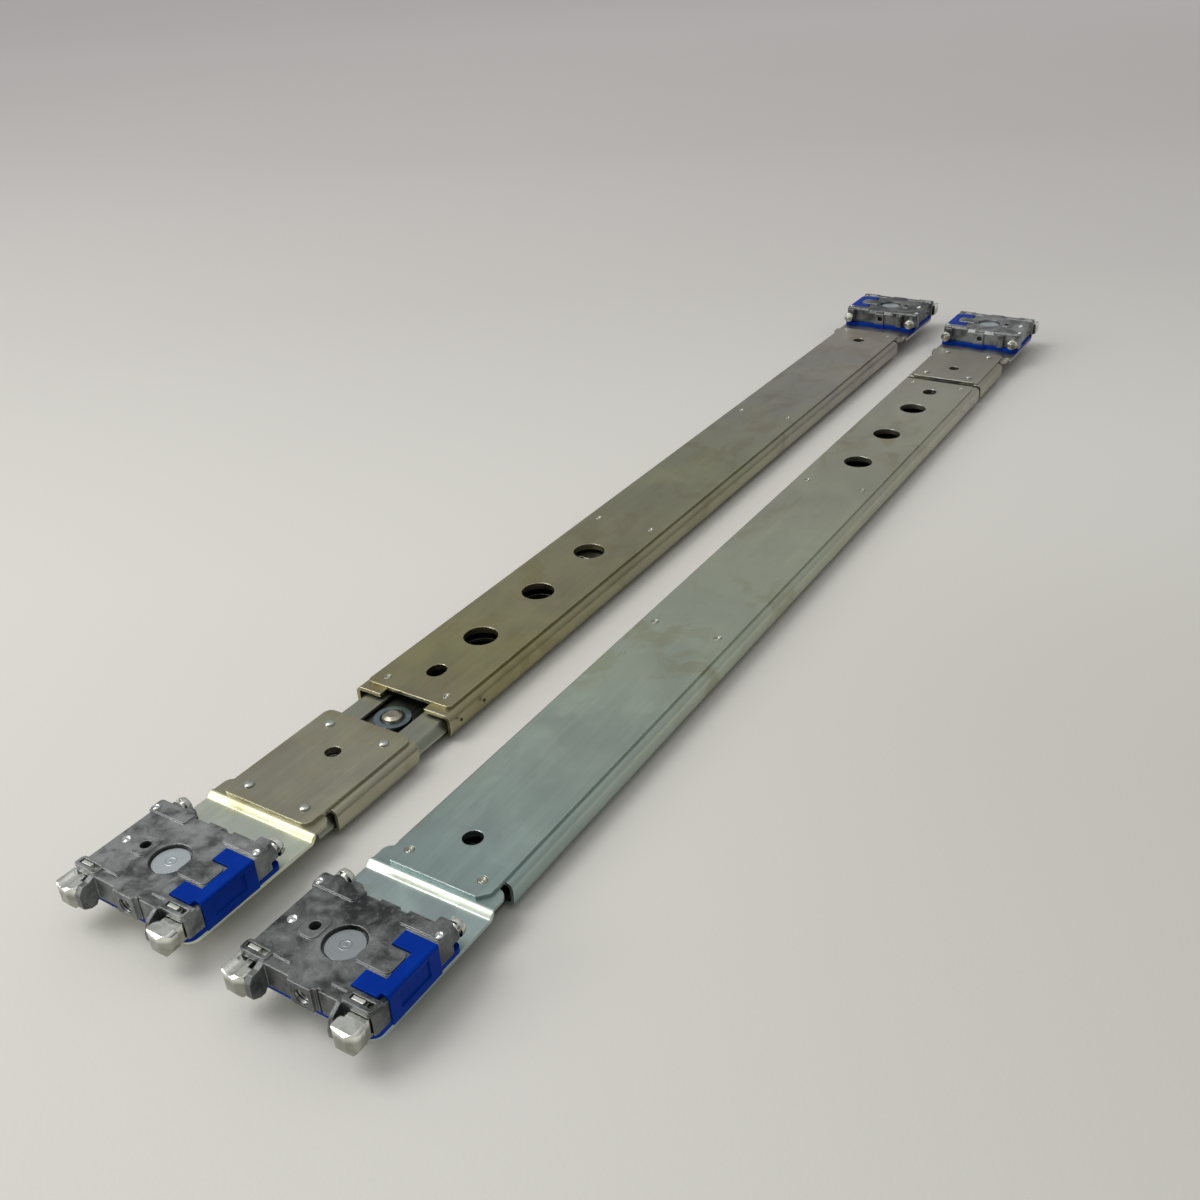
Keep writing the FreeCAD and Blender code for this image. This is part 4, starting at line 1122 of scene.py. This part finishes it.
@dataclass
class Bracket:
    """One quick-fit bracket: casting, latch, spring pins and screw hole."""

    side: Side
    end: End
    palette: Palette
    record: dict
    thread_depth: float = 0.34 * MM
    thread_pitch: float = 0.8 * MM
    thread_sides: int = 32
    thread_wall_gap: float = 0.01 * MM
    thread_end_gap: float = 0.6 * MM
    pin_coil: Coil = Coil(1.38 * MM, 0.26 * MM, 6)
    latch_coil: Coil = Coil(1.5 * MM, 0.5 * MM, 4)

    def name(self, part: str) -> str:
        """The part's full name on this bracket."""
        return f"{self.side.value}_{self.end.value}_{part}"

    def dress(self) -> None:
        """Gives every part of the bracket its finish."""
        low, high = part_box(self.name("hub_rivet"))
        middle = ((low.x + high.x) / 2.0, (low.y + high.y) / 2.0)
        # The right front bracket's disc is made darker than the others.
        disc_dimming = 0.84 if self.side is Side.RIGHT and self.end is End.FRONT else 1.0
        disc = TurnedDisc(self.name("hub_disc"), tone(206 * disc_dimming, 214 * disc_dimming, 217 * disc_dimming),
                          tone(172 * disc_dimming, 181 * disc_dimming, 186 * disc_dimming), middle)
        dark, light = CASTING_SKINS_AND_LIGHT[self.side, self.end]
        shift = 3.1 * (self.side is Side.LEFT) + 1.7 * (self.end is End.REAR)
        casting = DieCasting(self.name("casting"), tone(dark, dark + 2, dark + 3),
                             tone(light, light + 3, light + 3), tone(180, 184, 182), shift=shift)
        finishes = {"casting": casting, "latch": LATCH_BLUE, "lock_strip": LUG_ZINC,
                    "left_pin": PIN_NICKEL, "right_pin": PIN_NICKEL, "hub_rivet": disc,
                    "dowel_pins": DOWEL_NICKEL}
        for part, finish in finishes.items():
            cover(self.name(part), self.palette.get(finish))
        self.dome_dowels()
        self.wind_springs()
        self.cut_thread()

    def dome_dowels(self) -> None:
        """Replaces the flat dowels by domed ones, each in a narrow groove.

        One turned profile, in units of the dowel's radius: a rim, a groove and a dome.
        """
        flats = loose_parts(self.name("dowel_pins"))
        radii = (flats[:, 3] - flats[:, 0]) / 2.0
        dome = dome_outline(radius=0.74, rise=0.36, foot=-0.4, tip=0.05, rings=8)
        profile = [*GROOVED_RIM, *dome]
        piece = turned_set(self.name("dowel_heads"), profile, top_middles(flats), 28, radii)
        piece.data.materials.append(self.palette.get(DOWEL_NICKEL))
        stood_for = bpy.data.objects[self.name("dowel_pins")]
        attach(piece, stood_for["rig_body"])
        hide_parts(stood_for.name)
        LOG.info("%s stands for %s", piece.name, stood_for.name)

    def wind_springs(self) -> None:
        """Winds the two pin springs and the latch's."""
        spaces = loose_parts(self.name("bracket_springs"))
        joints = {joint["name"]: joint for joint in self.record["behaviour"]["joints"]}
        for part, motion, way, coil in (("left_pin", "left_pin_slide", Y_AXIS, self.pin_coil),
                                        ("right_pin", "right_pin_slide", Y_AXIS, self.pin_coil),
                                        ("latch", "latch_pull", X_AXIS, self.latch_coil)):
            space = self.spring_space(part, way, spaces)
            self.wind_spring(part, joints[self.name(motion)], way, coil, space)

    def spring_space(self, part: str, way: int, spaces: Grid) -> Grid:
        """Finds the room of one part's spring among the bracket's three.

        Args:
            part: The part that the spring pushes.
            way: The axis that the spring lies along.
            spaces: Low and high corner of each spring's room.

        Returns:
            The corners of the room that lies that way and is nearest to the part across the rail.
        """
        sizes = spaces[:, 3:] - spaces[:, :3]
        lying = sizes[:, way] > sizes[:, 1 - way]
        low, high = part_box(self.name(part))
        gaps = np.abs((spaces[:, 0] + spaces[:, 3]) / 2.0 - (low.x + high.x) / 2.0)
        return spaces[np.argmin(np.where(lying, gaps, np.inf))]

    def wind_spring(self, part: str, joint: Mapping[str, Any], way: int, coil: Coil,
                    space: Grid) -> None:
        """Winds one spring into its room.

        Args:
            part: The part that the spring pushes.
            joint: That part's joint in the record.
            way: The axis that the spring lies along.
            coil: The spring's wire.
            space: Low and high corner of its room.
        """
        coiled = bpy.data.objects[self.name("bracket_springs")]
        length = space[3 + way] - space[way]
        points, rings = coil.points(length)
        if way == X_AXIS:
            x, y, z = points.T
            points = np.column_stack([y, -x, z])
        start = (space[:3] + space[3:]) / 2.0
        start[way] = space[way]
        first, last = range(coil.sides), range(len(points) - coil.sides, len(points))
        quads = lattice(rings, coil.sides, False, True)
        piece = make_piece(self.name(f"{part}_spring"), points + start, quads, (first[::-1], last))
        piece.data.materials.append(self.palette.get(SPRING_STEEL))
        seat = start.copy()
        seat[way] = space[way] if joint["axis"][way] < 0 else space[3 + way]
        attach(piece, coiled["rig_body"])
        1.0 - joint["range_m"][1] / length
        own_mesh(piece)
        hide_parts(coiled.name)
        LOG.info("%s stands for %s, %.2f mm long", piece.name, coiled.name, length / MM)

    def cut_thread(self) -> None:
        """Lines the screw hole with its thread, a helical sleeve that rides with the casting."""
        hole = next(m for m in self.record["mounts"] if m["name"] == self.name("screw_hole"))
        inward = -1.0 if self.end is End.REAR else 1.0
        length = hole["dims"]["length_mm"] * MM - self.thread_end_gap
        bore = hole["dims"]["r_mm"] * MM - self.thread_wall_gap
        points, rings = thread_points(length, bore, self.thread_depth, self.thread_pitch,
                                      self.thread_sides)
        points[:, 1] -= length / 2.0
        points = points * np.array([inward, inward, 1.0]) + np.array(hole["pos_m"])
        quads = lattice(rings, self.thread_sides, True, True)
        sleeve = make_piece(self.name("screw_thread"), points, quads)
        sleeve.data.materials.append(self.palette.get(THREAD_ZINC))
        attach(sleeve, bpy.data.objects[self.name("casting")]["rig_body"])
        LOG.info("%s cut", sleeve.name)


def cover(node: str, material: bpy.types.Material) -> None:
    """Gives a model node one material in place of its own.

    Args:
        node: The node's name.
        material: The material.
    """
    shown = bpy.data.objects[node]
    shown.data.materials.clear()
    shown.data.materials.append(material)
    LOG.info("%s: %s", node, material.name)


@dataclass
class Studio:
    """Floor, light and camera round the pair."""

    eye: Tuple[float, float, float] = (0.18003, -0.36684, 0.20423)
    yaw: float = -0.5788
    pitch: float = -0.5204
    roll: float = -0.0527
    lens: float = 36.825
    sensor: float = 36.0
    clip: Span = (0.01, 20.0)
    reach: float = 4.0
    floor_height: float = -0.2 * MM
    floor_points: int = 9
    # Paper tone with painted light and shade, by distance along the camera's heading.
    floor_tone_and_light: Tuple[Tuple[float, Colour], ...] = (
        (0.0, tone(219, 217, 212)), (0.2, tone(220, 218, 212)), (0.38, tone(222, 220, 214)),
        (0.72, tone(211, 208, 204)), (1.2, tone(210, 206, 204)), (2.3, tone(228, 223, 222)))
    # Tint of the painted shade right of the rails; the paper's mottling uses it too.
    floor_shade: Colour = (0.88, 0.87, 0.87)
    walls: Tuple[Tuple[float, Colour], ...] = (
        (0.0, (0.33, 0.33, 0.325)), (0.2, (0.39, 0.39, 0.385)), (0.5, (0.42, 0.425, 0.42)),
        (0.8, (0.44, 0.445, 0.445)), (0.92, (0.7, 0.7, 0.7)), (1.0, (1.0, 1.0, 1.0)))
    dark_wall: Colour = (0.09, 0.09, 0.088)
    dark_share: float = 0.7

    def heading(self) -> Span:
        """The camera's level direction."""
        return (math.sin(self.yaw), math.cos(self.yaw))

    def floor(self) -> None:
        """Lays a wide square of paper just under the pair as a plain grid."""
        axis = np.linspace(-self.reach, self.reach, self.floor_points)
        x, y = np.meshgrid(axis, axis, indexing="ij")
        points = np.stack([x.ravel(), y.ravel(), np.full(x.size, self.floor_height)], 1)
        quads = lattice(self.floor_points, self.floor_points, False, False)
        paper = make_piece("floor", points, quads[:, ::-1])
        finish = PaperFloor("floor_paper", self.floor_tone_and_light, self.floor_shade, self.eye[:2],
                            self.heading())
        paper.data.materials.append(finish.build())

    def sky(self) -> None:
        """Surrounds the set with a room that is bright overhead and dark low behind the camera."""
        world = bpy.data.worlds.new("room")
        world.use_nodes = True
        s = Shader.on_tree(world.node_tree)
        where = s.add("ShaderNodeTexCoord", {}, {}, "Generated")
        height = s.axis(where, "Z")
        colour = s.add("ShaderNodeValToRGB", {"stops": self.walls}, {"Fac": height}, "Color")
        ahead = s.axis(where, "X") * self.heading()[0] + s.axis(where, "Y") * self.heading()[1]
        behind = ahead.between(-0.1, -0.7) * height.between(0.7, 0.3)
        colour = s.mix(behind * self.dark_share, colour, self.dark_wall)
        background = s.add("ShaderNodeBackground", {}, {"Color": colour, "Strength": 1.0})
        output = s.tree.nodes.new("ShaderNodeOutputWorld")
        s.tree.links.new(background.socket, output.inputs["Surface"])
        bpy.context.scene.world = world

    @staticmethod
    def lamp(name: str, place: Tuple[float, float, float], size: Span, power: float,
             colour: Colour) -> None:
        """Hangs a rectangular soft light that points at the middle of the pair.

        Args:
            name: The light's name.
            place: Where it hangs.
            size: Its width and height.
            power: Its power in watts.
            colour: Its colour.
        """
        data = bpy.data.lights.new(name, "AREA")
        data.shape = "RECTANGLE"
        data.size, data.size_y = size
        data.energy = power
        data.color = colour
        light = bpy.data.objects.new(name, data)
        light.location = place
        light.rotation_mode = "QUATERNION"
        light.rotation_quaternion = (-Vector(place)).to_track_quat("-Z", "Y")
        bpy.context.scene.collection.objects.link(light)

    def camera(self) -> None:
        """Stands the camera at the eye, turned by its yaw, pitch and roll."""
        flat_x, flat_y = self.heading()
        ahead = Vector((flat_x * math.cos(self.pitch), flat_y * math.cos(self.pitch),
                        math.sin(self.pitch)))
        level = Vector((math.cos(self.yaw), -math.sin(self.yaw), 0.0))
        upward = level.cross(ahead)
        right = level * math.cos(self.roll) + upward * math.sin(self.roll)
        top = -level * math.sin(self.roll) + upward * math.cos(self.roll)
        data = bpy.data.cameras.new("camera")
        data.sensor_width, data.sensor_height, data.lens = self.sensor, self.sensor, self.lens
        data.clip_start, data.clip_end = self.clip
        camera = bpy.data.objects.new("camera", data)
        turn = Matrix((right, top, -ahead)).transposed().to_4x4()
        camera.matrix_world = Matrix.Translation(self.eye) @ turn
        bpy.context.scene.collection.objects.link(camera)
        bpy.context.scene.camera = camera

    def build(self) -> None:
        """Makes the whole studio."""
        self.camera()
        self.floor()
        self.sky()
        self.lamp("key", place=(-0.64, -0.58, 1.28), size=(0.9, 0.8), power=9.5,
                  colour=(1.0, 0.99, 0.97))
        self.lamp("window", place=(-1.1, -1.45, 0.75), size=(0.9, 0.6), power=7.0,
                  colour=(1.0, 0.985, 0.95))
        bpy.context.scene.view_settings.view_transform = "Standard"


def main() -> None:
    """Loads the model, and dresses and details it."""
    logging.basicConfig(level=logging.INFO, format="%(message)s")
    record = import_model()["record"]
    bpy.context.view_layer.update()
    palette = Palette()
    Studio().build()
    for rail in (Rail(Side.LEFT, OLIVE_ZINC, palette), Rail(Side.RIGHT, BLUISH_ZINC, palette)):
        rail.dress()
        for end in End:
            Bracket(rail.side, end, palette, record).dress()


if __name__ == "__main__":
    main()
